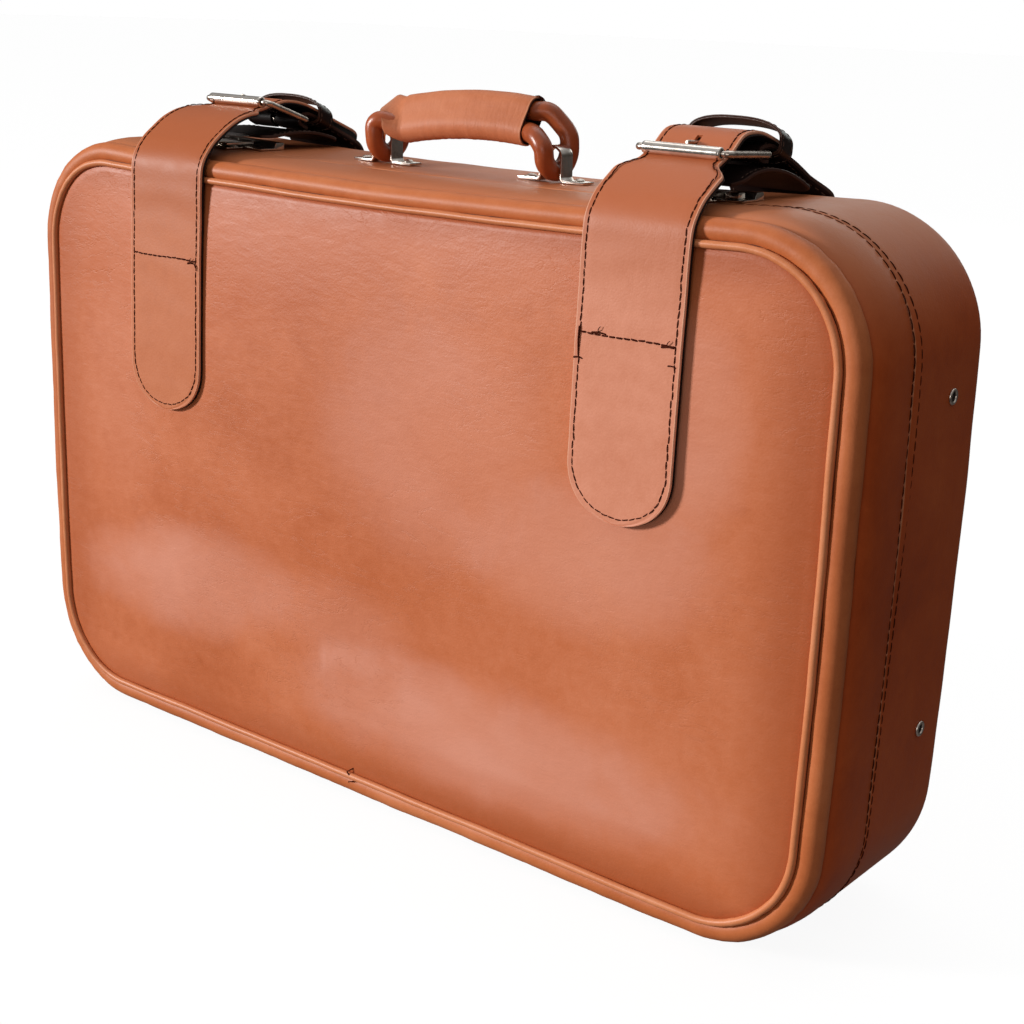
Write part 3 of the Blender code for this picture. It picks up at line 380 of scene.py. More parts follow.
# ---------------------------------------------------------------- mesh helpers
def piece(name, verts, faces, mat, body, nodes=(), angle=42.0, edge=None, closed=True, mats=None, face_mat=None):
    """A mesh in the row frame that rides on a CAD body and may stand for CAD nodes."""
    me = bpy.data.meshes.new(name)
    me.from_pydata([tuple(v) for v in np.asarray(verts, float)], [], [tuple(int(i) for i in f) for f in faces])
    if face_mat is not None:
        me.polygons.foreach_set("material_index", np.asarray(face_mat, np.int32))
    bm = bmesh.new()
    bm.from_mesh(me)
    if closed:
        bmesh.ops.recalc_face_normals(bm, faces=bm.faces)
        if bm.calc_volume(signed=True) < 0:
            bmesh.ops.reverse_faces(bm, faces=bm.faces)
    bm.to_mesh(me)
    bm.free()
    me.shade_smooth()
    me.set_sharp_from_angle(angle=math.radians(angle))
    if edge is not None:
        a = me.attributes.new("edge", "FLOAT", "POINT")
        a.data.foreach_set("value", np.asarray(edge, np.float32))
    for m in (mats or [mat]):
        me.materials.append(m)
    o = bpy.data.objects.new(name, me)
    bpy.context.scene.collection.objects.link(o)
    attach(o, body)
    if nodes:
        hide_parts(*nodes)
    return o


def grid_faces(m, n, wrap_m, wrap_n):
    faces = []
    for i in range(m if wrap_m else m - 1):
        k = (i + 1) % m
        for j in range(n if wrap_n else n - 1):
            j2 = (j + 1) % n
            faces.append((i * n + j, i * n + j2, k * n + j2, k * n + j))
    return faces


def merge(parts):
    """Joins (verts, faces, edge) parts into one set."""
    verts, faces, edge, off = [], [], [], 0
    for p in parts:
        v, f = p[0], p[1]
        verts.append(np.asarray(v, float).reshape(-1, 3))
        faces += [tuple(i + off for i in q) for q in f]
        edge.append(np.asarray(p[2], float) if len(p) > 2 else np.zeros(len(verts[-1])))
        off += len(verts[-1])
    return np.vstack(verts), faces, np.concatenate(edge)


def ws(d):
    return d - DEPTH_MID


def bend(x, z):
    t = z / H2
    bx = x + SIDE_BOW * (x / W2) * (1 - t * t)
    bz = z - TOP_SAG * (1 - (x / W2) ** 2) * np.maximum(0.0, t) ** 3
    return bx, bz + ZC


def outline(off, corner=26, ends=30, top=96, bottom=96):
    """Outline of the case moved in by off, as (n, 2) points, in the same order for every off."""
    w, h, r = W2 - off, H2 - off, max(CORNER_R - off, 0.004)
    pts = []

    def side(a, b, n):
        t = np.arange(1, n)[:, None] / n
        pts.append(np.array(a) * (1 - t) + np.array(b) * t)

    def arc(cx, cz, a0):
        a = a0 + (math.pi / 2) * np.arange(corner + 1) / corner
        pts.append(np.c_[cx + r * np.cos(a), cz + r * np.sin(a)])

    arc(w - r, -h + r, -math.pi / 2)
    side((w, -h + r), (w, h - r), ends)
    arc(w - r, h - r, 0.0)
    side((w - r, h), (-w + r, h), top)
    arc(-w + r, h - r, math.pi / 2)
    side((-w, h - r), (-w, -h + r), ends)
    arc(-w + r, -h + r, math.pi)
    side((-w + r, -h), (w - r, -h), bottom)
    p = np.vstack(pts)
    x, z = bend(p[:, 0], p[:, 1])
    return np.c_[x, z]


def arc_length(p):
    d = np.linalg.norm(np.roll(p, -1, 0) - p, axis=1)
    return np.concatenate([[0.0], np.cumsum(d)[:-1]]), d.sum()


def loop_normals(p):
    t = np.roll(p, -1, 0) - np.roll(p, 1, 0)
    t /= np.linalg.norm(t, axis=1)[:, None]
    return np.c_[t[:, 1], -t[:, 0]]


def wave(s, total, seed, cycles, amps):
    """A smooth wobble that closes on itself over the loop length."""
    rng = np.random.default_rng(seed)
    out = np.zeros_like(s)
    for c, a in zip(cycles, amps):
        for k in (c, int(c * 1.37) + 1):
            out += a * np.sin(2 * math.pi * k * s / total + rng.uniform(0, 2 * math.pi))
    return out


def fillet(poly, r, seg=4, closed=True):
    """Rounds the corners of a polyline."""
    p = [np.array(q, float) for q in poly]
    n = len(p)
    out = []
    for i in range(n):
        if not closed and i in (0, n - 1):
            out.append(p[i])
            continue
        a, b, c = p[i - 1], p[i], p[(i + 1) % n]
        la, lc = np.linalg.norm(a - b), np.linalg.norm(c - b)
        rr = min(r, 0.45 * la, 0.45 * lc)
        s, e = b + (a - b) / la * rr, b + (c - b) / lc * rr
        for k in range(seg + 1):
            t = k / seg
            out.append((1 - t) ** 2 * s + 2 * t * (1 - t) * b + t * t * e)
    return out


def spline(points, per=6, closed=False):
    p = [np.array(q, float) for q in points]
    if closed:
        ext = [p[-1]] + p + [p[0], p[1]]
    else:
        ext = [p[0] * 2 - p[1]] + p + [p[-1] * 2 - p[-2]]
    out = []
    for i in range(1, len(ext) - 2):
        a, b, c, d = ext[i - 1:i + 3]
        for k in range(per):
            t = k / per
            out.append(0.5 * ((2 * b) + (c - a) * t + (2 * a - 5 * b + 4 * c - d) * t * t + (3 * b - a - 3 * c + d) * t ** 3))
    if not closed:
        out.append(p[-1])
    return np.array(out)


BASE_LOOP = outline(0.0)
BASE_S, BASE_TOTAL = arc_length(BASE_LOOP)
NLOOP = len(BASE_LOOP)
_loops = {}


def loop_at(off):
    key = round(float(off), 6)
    if key not in _loops:
        _loops[key] = outline(key)
    return _loops[key]


def sweep(profile, wobble=None):
    """Points (m, n, 3) of a profile of (off, depth). wobble(s, i) adds to off and depth."""
    rows = []
    for i, (o, d) in enumerate(profile):
        base = loop_at(o)
        dd = np.full(NLOOP, float(d))
        if wobble is not None:
            do, dz = wobble(i)
            nrm = loop_normals(base)
            base = base - nrm * np.asarray(do).reshape(-1, 1)
            dd = dd + dz
        rows.append(np.c_[base[:, 0], ws(dd), base[:, 1]])
    return np.array(rows)


def ring(name, profile, mat, body, nodes, wobble=None, edge=None, angle=42.0):
    g = sweep(profile, wobble)
    m = len(profile)
    e = None if edge is None else np.repeat(np.asarray(edge, float), NLOOP)
    return piece(name, g.reshape(-1, 3), grid_faces(m, NLOOP, True, True), mat, body, nodes, angle, e)


def disc_rows(off, depth_fn, ks):
    """Rows of the outline at off, shrunk towards the middle by ks, at the depth that depth_fn(x, z) gives."""
    base = loop_at(off)
    rows = []
    for k in ks:
        x, z = base[:, 0] * k, ZC + (base[:, 1] - ZC) * k
        rows.append(np.c_[x, ws(depth_fn(x, z)), z])
    return rows


def strip_faces(m, n, first=0):
    return [(first + i * n + j, first + i * n + (j + 1) % n, first + (i + 1) * n + (j + 1) % n, first + (i + 1) * n + j)
            for i in range(m - 1) for j in range(n)]


def nz(x, y, z, f, seed=0.0):
    return np.array([noise.noise(Vector((a * f + seed, b * f - seed, c * f + 0.5 * seed))) for a, b, c in zip(x, y, z)])


# ---------------------------------------------------------------- stitches
def stitches(name, pts, nrm, body, pitch=0.0050, fill=0.90, r=0.00045, mat=None, closed=False, sides=7,
             wobble=0.00012, seed=1, lift=0.45, skip=None):
    """A row of sewn threads along pts: each one dives into the leather at both ends."""
    pts, nrm = np.asarray(pts, float), np.asarray(nrm, float)
    if closed:
        pts, nrm = np.vstack([pts, pts[:1]]), np.vstack([nrm, nrm[:1]])
    seg = np.linalg.norm(np.diff(pts, axis=0), axis=1)
    s = np.concatenate([[0], np.cumsum(seg)])
    total = s[-1]
    count = max(1, int(round(total / pitch)))
    step = total / count
    rng = np.random.default_rng(seed)
    ts = np.array([0.0, 0.10, 0.30, 0.50, 0.70, 0.90, 1.0])
    rise = np.array([-1.0, 0.10, 0.75, 1.0, 0.75, 0.10, -1.0])
    fat = np.array([0.55, 0.92, 1.0, 1.0, 1.0, 0.92, 0.55])
    P = np.empty((count, 7, 3))
    N = np.empty((count, 7, 3))
    T = np.empty((count, 7, 3))
    ok = []
    for k in range(count):
        a = (k + 0.5 - fill / 2) * step
        q = a + ts * fill * step
        P[k] = np.c_[[np.interp(q, s, pts[:, i]) for i in range(3)]].T
        N[k] = np.c_[[np.interp(q, s, nrm[:, i]) for i in range(3)]].T
        if skip is None or not skip(P[k, 3]):
            ok.append(k)
    P, N = P[ok], N[ok]
    if not len(P):
        return None
    N /= np.linalg.norm(N, axis=2)[..., None]
    T = P[:, -1:] - P[:, :1]
    T = np.repeat(T / np.linalg.norm(T, axis=2)[..., None], 7, axis=1)
    B = np.cross(T, N)
    B /= np.linalg.norm(B, axis=2)[..., None]
    side_shift = rng.normal(0, wobble, (len(P), 1, 1)) + np.linspace(-1, 1, 7)[None, :, None] * rng.normal(0, wobble, (len(P), 1, 1))
    C = P + N * (rise * r * lift)[None, :, None] + B * side_shift
    ang = 2 * math.pi * np.arange(sides) / sides
    ring_pts = (C[:, :, None, :] + (N[:, :, None, :] * np.sin(ang)[None, None, :, None] * 0.85
                + B[:, :, None, :] * np.cos(ang)[None, None, :, None]) * (fat * r)[None, :, None, None])
    verts = ring_pts.reshape(-1, 3)
    one = []
    for i in range(6):
        for j in range(sides):
            j2 = (j + 1) % sides
            one.append((i * sides + j, i * sides + j2, (i + 1) * sides + j2, (i + 1) * sides + j))
    one.append(tuple(range(sides)))
    one.append(tuple(6 * sides + i for i in range(sides)))
    faces = [tuple(i + k * 7 * sides for i in f) for k in range(len(P)) for f in one]
    return piece(name, verts, faces, mat or THREAD, body, angle=60)


def loose_thread(name, pts, r, body, mat=None):
    """A short loose end or knot of thread."""
    p = spline(pts, 5)
    n = len(p)
    t = np.gradient(p, axis=0)
    t /= np.linalg.norm(t, axis=1)[:, None]
    ref = np.array([0.31, 0.9, 0.3])
    b = np.cross(t, ref)
    b /= np.linalg.norm(b, axis=1)[:, None]
    c = np.cross(t, b)
    ang = 2 * math.pi * np.arange(6) / 6
    rr = r * np.linspace(1.0, 0.55, n)
    v = p[:, None] + (b[:, None] * np.cos(ang)[None, :, None] + c[:, None] * np.sin(ang)[None, :, None]) * rr[:, None, None]
    faces = grid_faces(n, 6, False, True) + [tuple(range(6)), tuple((n - 1) * 6 + i for i in range(6))]
    return piece(name, v.reshape(-1, 3), faces, mat or THREAD, body, angle=60)


# ---------------------------------------------------------------- lid: front panel
def lid_face_depth(x, z):
    u = np.abs(x) / (W2 - 0.0226)
    v = np.abs(z - ZC) / (H2 - 0.0226)
    g = np.maximum(0.0, 1 - u ** 3.2) * np.maximum(0.0, 1 - v ** 3.2)
    return 0.0010 - CROWN * g


ks = np.concatenate([[1.006, 1.0, 0.994, 0.988, 0.980], np.linspace(0.970, 0.05, 62)])
rows = disc_rows(0.0197, lid_face_depth, ks)
P = np.array(rows)
gx, gz = P[..., 0].ravel(), P[..., 2].ravel()
rim = np.repeat(np.clip((1.0 - ks) / 0.05, 0, 1), NLOOP)                    # 0 at the seam, 1 inside
low = nz(gx, gx * 0, gz, 7.0, 3.0) * 0.00045 + nz(gx, gx * 0, gz, 17.0, 9.0) * 0.00022
pucker = nz(gx, gx * 0, gz, 75.0, 5.0) * 0.00020 * np.exp(-((1.0 - np.repeat(ks, NLOOP)) / 0.03) ** 2)
P[..., 1] += ((low * rim) + pucker).reshape(P.shape[:2])
P[0, :, 1] = ws(0.0026)                                                       # tucked under the piping
P[1, :, 1] = ws(0.0016)
P[2, :, 1] += 0.0004
back_rows = [r.copy() for r in (P[0],)]
back = np.array([np.c_[loop_at(0.0197)[:, 0] * k, np.full(NLOOP, ws(0.0030)), ZC + (loop_at(0.0197)[:, 1] - ZC) * k] for k in (1.004, 0.6, 0.1)])
allp = np.concatenate([back[::-1], P])
m = len(allp)
faces = strip_faces(m, NLOOP) + [tuple(range(NLOOP)), tuple(range((m - 1) * NLOOP, m * NLOOP))]
panel = piece("front_panel_leather", allp.reshape(-1, 3), faces, TAN, "lid", ["lid_front_panel"],
              edge=np.zeros(m * NLOOP))

# piping and padded edge roll
corner_mask = np.exp(-((np.abs(BASE_LOOP[:, 0]) - W2 + 0.02) / 0.045) ** 2) * np.exp(-((np.abs(BASE_LOOP[:, 1] - ZC) - H2 + 0.02) / 0.045) ** 2)


def tube_wobble(count, seed, amp, corner_amp, drift):
    w = [wave(BASE_S, BASE_TOTAL, seed + i % 3, (24, 61, 118), (amp, amp * 0.6, amp * 0.4)) for i in range(3)]
    c = wave(BASE_S, BASE_TOTAL, seed + 7, (160, 230), (corner_amp, corner_amp * 0.8)) * corner_mask
    path = wave(BASE_S, BASE_TOTAL, seed + 11, (9, 21), (drift, drift * 0.5))

    def f(i):
        a = 2 * math.pi * i / count
        r = w[i % 3] * 0.35 + w[0] * 0.65 + c * math.cos(a - 0.6)
        return r * -math.cos(a) * -1 + path, r * math.sin(a)
    return f


def round_profile(off, depth, ro, rd, n):
    return [(off + ro * math.cos(2 * math.pi * i / n), depth + rd * math.sin(2 * math.pi * i / n)) for i in range(n)]


def tube_ring(name, off, depth, ro, rd, count, mat, body, nodes, seed, amp, corner_amp, drift):
    prof = round_profile(off, depth, ro, rd, count)
    wob = [wave(BASE_S, BASE_TOTAL, seed + i, (24, 61, 118), (amp, amp * 0.6, amp * 0.4)) for i in range(2)]
    c = wave(BASE_S, BASE_TOTAL, seed + 7, (150, 231), (corner_amp, corner_amp * 0.8)) * corner_mask
    path = wave(BASE_S, BASE_TOTAL, seed + 11, (9, 21), (drift, drift * 0.5))

    def f(i):
        a = 2 * math.pi * i / count
        r = wob[0] * (0.5 + 0.5 * math.cos(a)) + wob[1] * (0.5 - 0.5 * math.cos(a)) + c * (0.6 + 0.4 * math.sin(3 * a))
        return r * math.cos(a) + path, r * math.sin(a)
    return ring(name, prof, mat, body, nodes, wobble=f, edge=np.zeros(count))


tube_ring("lid_piping_cord", PIPE_OFF - 0.0029, 0.0008, PIPE_R + 0.0002, PIPE_R + 0.0002, 16, TAN_PIPE, "lid", ["lid_piping"], 20, 0.00006,
          0.00013, 0.00012)
roll = tube_ring("lid_padded_roll", ROLL_OFF, ROLL_DEPTH, ROLL_RO, ROLL_RD, 36, TAN_ROLL, "lid", ["lid_edge_roll"],
                 40, 0.00009, 0.00014, 0.00015)
# the seam between piping and roll, and the one behind the roll: dark leather filling the valleys, painted shade
# standing in for the shade in them
VALLEY_SHADE = leather("valley_painted_shade", srgb(70, 30, 14), srgb(96, 44, 22), srgb(120, 60, 34), wrinkle=0.3, seed=5.0, rough=(0.6, 0.7),
               spec=0.2)
ring("lid_piping_flange", [(0.0180, 0.0014), (0.0168, 0.0021), (0.0158, 0.0025), (0.0148, 0.0026), (0.0138, 0.0024), (0.0138, 0.0044),
                           (0.0180, 0.0044)], VALLEY_SHADE, "lid", [], edge=np.zeros(7), angle=60)


# ---------------------------------------------------------------- side bands
def band(name, profile_at, mat, body, nodes, edge_at, seed):
    prof = [profile_at(False), profile_at(True)]
    m = len(prof[0])
    low = (np.abs(BASE_LOOP[:, 0]) < HINGE_FLAT + 0.0015) & (BASE_LOOP[:, 1] < 0.0006)
    rows = []
    bulge = wave(BASE_S, BASE_TOTAL, seed, (7, 17, 33), (0.00013, 0.00009, 0.00005))
    flat = np.clip((BASE_LOOP[:, 1] - 0.0005) / 0.03, 0, 1)
    for i in range(m):
        (o0, d0), (o1, d1) = prof[0][i], prof[1][i]
        a, b = loop_at(o0), loop_at(o1)
        base = np.where(low[:, None], b, a)
        nrm = loop_normals(base)
        base = base + nrm * (bulge * flat)[:, None]
        d = np.where(low, d1, d0)
        rows.append(np.c_[base[:, 0], ws(d), base[:, 1]])
    g = np.array(rows)
    e = np.repeat(np.array([edge_at(i, m) for i in range(m)], float), NLOOP)
    return piece(name, g.reshape(-1, 3), grid_faces(m, NLOOP, True, True), mat, body, nodes, 50, e)


def lid_band(hinge):
    end = SPLIT - (HINGE_HALF + GAP if hinge else GAP)
    p = [(0.0052, 0.0132), (0.0034, 0.0152), (0.0018, 0.0185), (0.0008, 0.0240), (0.0001, 0.0310), (0.0000, min(0.0400, end - 0.004)),
         (0.0001, end - 0.0016), (0.0003, end - 0.0006), (0.0008, end), (LEATHER - 0.0002, end), (LEATHER, end - 0.0006),
         (0.0019, 0.0360), (0.0030, 0.0260), (0.0056, 0.0165), (0.0062, 0.0145)]
    return p


def base_band(hinge):
    start = SPLIT + (HINGE_HALF + GAP if hinge else GAP)
    p = [(LEATHER, start + 0.0006), (LEATHER - 0.0002, start), (0.0008, start), (0.0003, start + 0.0006), (0.0001, start + 0.0016),
         (0.0000, max(0.0620, start + 0.004)), (0.0000, 0.0850), (0.0000, 0.1080)]
    for i in range(0, 16):
        a = math.radians(5 * i)
        p.append((BACK_ROUND * (1 - math.cos(a)), BACK - BACK_ROUND + BACK_ROUND * math.sin(a)))
    r = BACK_ROUND - LEATHER
    for i in range(15, -1, -1):
        a = math.radians(5 * i)
        p.append((BACK_ROUND - r * math.cos(a), BACK - BACK_ROUND + r * math.sin(a)))
    return p


band("lid_band_leather", lid_band, TAN_SIDE, "lid", ["lid_side_band"], lambda i, m: 1.0 if 7 <= i <= 9 else (0.25 if i in (6,) else 0.0), 70)
band("base_band_leather", base_band, TAN_SIDE, "base", ["base_side_band"], lambda i, m: 1.0 if 1 <= i <= 2 else (0.25 if i in (3,) else 0.0), 71)

# stitch rows either side of the opening
on_strip = lambda q: (abs(q[0]) < HINGE_FLAT + 0.004 and q[2] < 0.002) or (q[2] > 0.400 and -0.265 < q[0] < 0.216)
under = lambda q: False
nrm2 = loop_normals(BASE_LOOP)
N3 = np.c_[nrm2[:, 0], np.zeros(NLOOP), nrm2[:, 1]]
side_far = np.exp(-((BASE_LOOP[:, 1] - 0.315) / 0.11) ** 2) * np.clip((np.abs(BASE_LOOP[:, 0]) - 0.20) / 0.09, 0, 1)
row_lid = SPLIT - 0.0019 + wave(BASE_S, BASE_TOTAL, 5, (5, 13), (0.00018, 0.0001))
row_base = SPLIT + 0.0022 + 0.0042 * side_far + wave(BASE_S, BASE_TOTAL, 6, (4, 11), (0.00030, 0.00015))
lp = loop_at(0.0001)
stitches("stitches_lid_row", np.c_[lp[:, 0], ws(row_lid), lp[:, 1]], N3, "lid", closed=True, seed=11, skip=on_strip,
         pitch=0.0068, fill=0.88, r=0.00042)
stitches("stitches_base_row", np.c_[lp[:, 0], ws(row_base), lp[:, 1]], N3, "base", closed=True, seed=12, skip=on_strip,
         pitch=0.0070, fill=0.84, r=0.00038)

# ---------------------------------------------------------------- shells, linings, closing frame
def tray(name, profile, mat, body, nodes, depth_in, depth_out, wobble=None):
    """A swept profile whose first and last outlines are closed by discs at their depths."""
    g = sweep(profile, wobble)
    m = len(profile)
    ks2 = (0.85, 0.65, 0.4, 0.12)
    first = np.array([np.c_[g[0][:, 0] * k, depth_out(g[0][:, 0] * k, ZC + (g[0][:, 2] - ZC) * k, g[0][:, 1]), ZC + (g[0][:, 2] - ZC) * k]
                      for k in ks2[::-1]])
    last = np.array([np.c_[g[-1][:, 0] * k, depth_in(g[-1][:, 0] * k, ZC + (g[-1][:, 2] - ZC) * k, g[-1][:, 1]), ZC + (g[-1][:, 2] - ZC) * k]
                     for k in ks2])
    allg = np.concatenate([first, g, last])
    mm = len(allg)
    faces = strip_faces(mm, NLOOP) + [tuple(range(NLOOP)), tuple(range((mm - 1) * NLOOP, mm * NLOOP))]
    return piece(name, allg.reshape(-1, 3), faces, mat, body, nodes, 35)


same = lambda x, z, y: y
tray("lid_board", fillet([(0.0222, 0.0034), (0.0190, 0.0172), (0.0056, 0.0172), (0.0029, 0.0300), (0.0018, SPLIT - GAP),
                          (0.0018 + BOARD, SPLIT - GAP), (0.0029 + BOARD, 0.0300), (0.0090, 0.0204), (0.0216, 0.0204),
                          (0.0254, 0.0066)], 0.0005, 2, closed=False), BOARD_MAT, "lid", ["lid_shell"], same, same)
tray("base_board", fillet([(0.0215, BACK - 0.0020), (0.0150, BACK - 0.0035), (0.0075, BACK - 0.0075), (0.0018, BACK - BACK_ROUND),
                           (0.0018, SPLIT + GAP), (0.0018 + BOARD, SPLIT + GAP), (0.0018 + BOARD, BACK - BACK_ROUND),
                           (0.0100, BACK - 0.0105), (0.0165, BACK - 0.0068), (0.0230, BACK - 0.0052)], 0.0005, 2, closed=False),
     BOARD_MAT, "base", ["base_shell"], same, same)


def lining(name, outer, inner, body, nodes, sign, seed):
    """Lining cloth glued inside a tray, with soft puckers on its floor."""
    prof = fillet(outer + inner, 0.0010, 3, closed=False)
    g = sweep(prof)
    m = len(prof)
    fl = np.linspace(0.96, 0.05, 34)
    rows = []
    for k in fl:
        x, z = g[-1][:, 0] * k, ZC + (g[-1][:, 2] - ZC) * k
        y = g[-1][:, 1] + sign * (np.abs(nz(x, x * 0, z, 22.0, seed)) * 0.0007 * min(1.0, (1 - k) * 12))
        rows.append(np.c_[x, y, z])
    first = np.array([np.c_[g[0][:, 0] * k, g[0][:, 1], ZC + (g[0][:, 2] - ZC) * k] for k in (0.12, 0.5, 0.85)])
    allg = np.concatenate([first, g, np.array(rows)])
    mm = len(allg)
    faces = strip_faces(mm, NLOOP) + [tuple(range(NLOOP)), tuple(range((mm - 1) * NLOOP, mm * NLOOP))]
    return piece(name, allg.reshape(-1, 3), faces, CLOTH, body, nodes, 40)


lining("lid_lining_cloth", [(0.0260, 0.0070), (0.0225, 0.0208), (0.0096, 0.0208), (0.0065, 0.0300), (0.0054, SPLIT - 0.0010)],
       [(0.0064, SPLIT - 0.0010), (0.0075, 0.0302), (0.0104, 0.0218), (0.0235, 0.0218), (0.0270, 0.0080)], "lid", ["lid_lining"], 1, 3.0)
lining("base_lining_cloth", [(0.0233, BACK - 0.0055), (0.0168, BACK - 0.0072), (0.0104, BACK - 0.0109), (LINE, BACK - BACK_ROUND),
                             (LINE, SPLIT + 0.0010)],
       [(LINE + 0.0010, SPLIT + 0.0010), (LINE + 0.0010, BACK - BACK_ROUND), (0.0112, BACK - 0.0119), (0.0176, BACK - 0.0082),
        (0.0240, BACK - 0.0065)], "base", ["base_lining"], -1, 6.0)
ring("closing_frame_steel", fillet([(FR, SPLIT - 0.0060), (FR, SPLIT + 0.0120), (FR + 0.0008, SPLIT + 0.0120), (FR + 0.0008, SPLIT - 0.0060)],
                                   0.0002, 2), NICKEL_DULL, "base", ["closing_frame"], angle=30)

# ---------------------------------------------------------------- back panel
bk = np.concatenate([[1.0, 0.997, 0.992], np.linspace(0.98, 0.05, 44)])
rows = []
base = loop_at(0.0222)
for k in bk:
    x, z = base[:, 0] * k, ZC + (base[:, 1] - ZC) * k
    d = np.full(NLOOP, BACK - 0.0008) + 0.0008 * min(1.0, (1 - k) / 0.008)
    d += (nz(x, x * 0, z, 7.0, 13.0) * 0.0003 + nz(x, x * 0, z, 18.0, 15.0) * 0.00015) * min(1.0, (1 - k) / 0.05)
    rows.append(np.c_[x, ws(d), z])
inner = np.array([np.c_[base[:, 0] * k, np.full(NLOOP, ws(BACK - 0.0016)), ZC + (base[:, 1] - ZC) * k] for k in (0.1, 0.6, 1.0)])
allg = np.concatenate([inner, np.array(rows)])
mm = len(allg)
piece("back_panel_leather", allg.reshape(-1, 3), strip_faces(mm, NLOOP) + [tuple(range(NLOOP)), tuple(range((mm - 1) * NLOOP, mm * NLOOP))],
      TAN, "base", ["base_back_panel"], edge=np.zeros(mm * NLOOP))
tube_ring("back_piping_cord", 0.0200, BACK - 0.0002, 0.0016, 0.0016, 12, TAN_ROLL, "base", ["base_back_piping"], 60,
          0.00005, 0.00010, 0.00010)
# dark ring under the back piping: painted shade in the valley at the panel's edge
ring("back_seam", [(0.0225, BACK - 0.0018), (0.0176, BACK - 0.0018), (0.0176, BACK - 0.0010), (0.0225, BACK - 0.0010)], VALLEY_SHADE, "base", [])


# ---------------------------------------------------------------- hinge strip
def hinge_strip():
    nx, nd = 160, 30
    xs = np.linspace(-HINGE_FLAT, HINGE_FLAT, nx)
    ds = np.linspace(SPLIT - HINGE_HALF, SPLIT + HINGE_HALF, nd)
    v = []
    for lay, z in ((0, 0.00005), (1, 0.0012)):
        for x in xs:
            for d in ds:
                round_e = 0.0003 * (max(0, (abs(d - SPLIT) - HINGE_HALF + 0.001) / 0.001) ** 2)
                v.append((x, ws(d), z + (round_e if lay == 0 else -round_e)))
    f = []
    idx = lambda l, i, j: l * nx * nd + i * nd + j
    for i in range(nx - 1):
        for j in range(nd - 1):
            for l in (0, 1):
                f.append((idx(l, i, j), idx(l, i + 1, j), idx(l, i + 1, j + 1), idx(l, i, j + 1)))
    for i in range(nx - 1):
        for j in (0, nd - 1):
            f.append((idx(0, i, j), idx(0, i + 1, j), idx(1, i + 1, j), idx(1, i, j)))
    for j in range(nd - 1):
        for i in (0, nx - 1):
            f.append((idx(0, i, j), idx(0, i, j + 1), idx(1, i, j + 1), idx(1, i, j)))
    me = bpy.data.meshes.new("hinge_strip_leather")
    me.from_pydata(v, [], f)
    bm = bmesh.new()
    bm.from_mesh(me)
    bmesh.ops.recalc_face_normals(bm, faces=bm.faces)
    bm.to_mesh(me)
    bm.free()
    me.shade_smooth()
    me.set_sharp_from_angle(angle=math.radians(50))
    me.materials.append(BROWN)
    o = bpy.data.objects.new("hinge_strip_leather", me)
    bpy.context.scene.collection.objects.link(o)
    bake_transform(o)
    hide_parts("hinge_strip")


hinge_strip()
for body, d in (("lid", SPLIT - HINGE_HALF + 0.0030), ("base", SPLIT + HINGE_HALF - 0.0030)):
    line = np.array([(x, ws(d), 0.00012) for x in np.linspace(-HINGE_FLAT + 0.003, HINGE_FLAT - 0.003, 60)])
    stitches("stitches_hinge_" + body, line, np.tile([0, 0, -1.0], (60, 1)), body, pitch=0.0055, fill=0.8, r=0.0003,
             lift=0.0, seed=31)

# ---------------------------------------------------------------- straps
SEWN = ((-0.0078, 0.2410), (-0.0077, 0.2450), (-0.0074, 0.2620), (-0.0069, 0.2900), (-0.0061, 0.3200), (-0.0055, 0.3450),
        (-0.0043, 0.3720), (-0.0038, 0.3920), (-0.0020, 0.4075), (0.0050, 0.4185), (0.0150, 0.4268))
TAIL = {"right": ((0.0250, 0.4335), (0.0355, 0.4380), (0.0455, 0.4430), (0.0560, 0.4508), (0.0660, 0.4527),
                  (0.0780, 0.4515), (0.0960, 0.4460), (0.1160, 0.4390), (0.1400, 0.4295), (0.1600, 0.4205),
                  (0.1655, 0.4180)),
        "left": ((0.0270, 0.4342), (0.0420, 0.4393), (0.0590, 0.4411), (0.0700, 0.4438), (0.0820, 0.4458),
                 (0.0970, 0.4440), (0.1130, 0.4382), (0.1300, 0.4310), (0.1460, 0.4245), (0.1600, 0.4190),
                 (0.1655, 0.4168))}
BACK_RUN = ((0.1484, 0.2410), (0.1483, 0.2450), (0.1481, 0.2620), (0.1480, 0.3000), (0.1480, 0.3450), (0.1481, 0.3800),
            (0.1490, 0.3980), (0.1470, 0.4110))
RISE = {"right": ((0.1380, 0.4212), (0.1220, 0.4305), (0.1050, 0.4380), (0.0900, 0.4440), (0.0830, 0.4454)),
        "left": ((0.1390, 0.4195), (0.1280, 0.4265), (0.1160, 0.4318), (0.1080, 0.4352), (0.1020, 0.4373))}
PAD = {"right": ((0.0462, 0.4262), (0.0530, 0.4290), (0.0620, 0.4318), (0.0740, 0.4332), (0.0860, 0.4326), (0.0990, 0.4302), (0.1110, 0.4264), (0.1220, 0.4218), (0.1300, 0.4185)),
       "left": ((0.0600, 0.4232), (0.0655, 0.4236), (0.0800, 0.4252), (0.0950, 0.4255), (0.1080, 0.4242), (0.1200, 0.4215), (0.1300, 0.4180))}
REAR_W = 0.052
TIP = {"right": 0.1180, "left": 0.1655}
FOLD_R = BAR_R + GAP + 0.0001 + STRAP_T / 2


def ease(t):
    t = min(1.0, max(0.0, t))
    return t * t * (3 - 2 * t)


def tongue_width(z, z0=0.2410, reach=0.0340):
    """Width of the rounded lower end, full by z0 + reach."""
    u = max(0.0, min(1.0, (z - z0) / reach))
    return math.sqrt(max(0.0, 1 - (1 - u) ** 2.4)) * STRAP_W


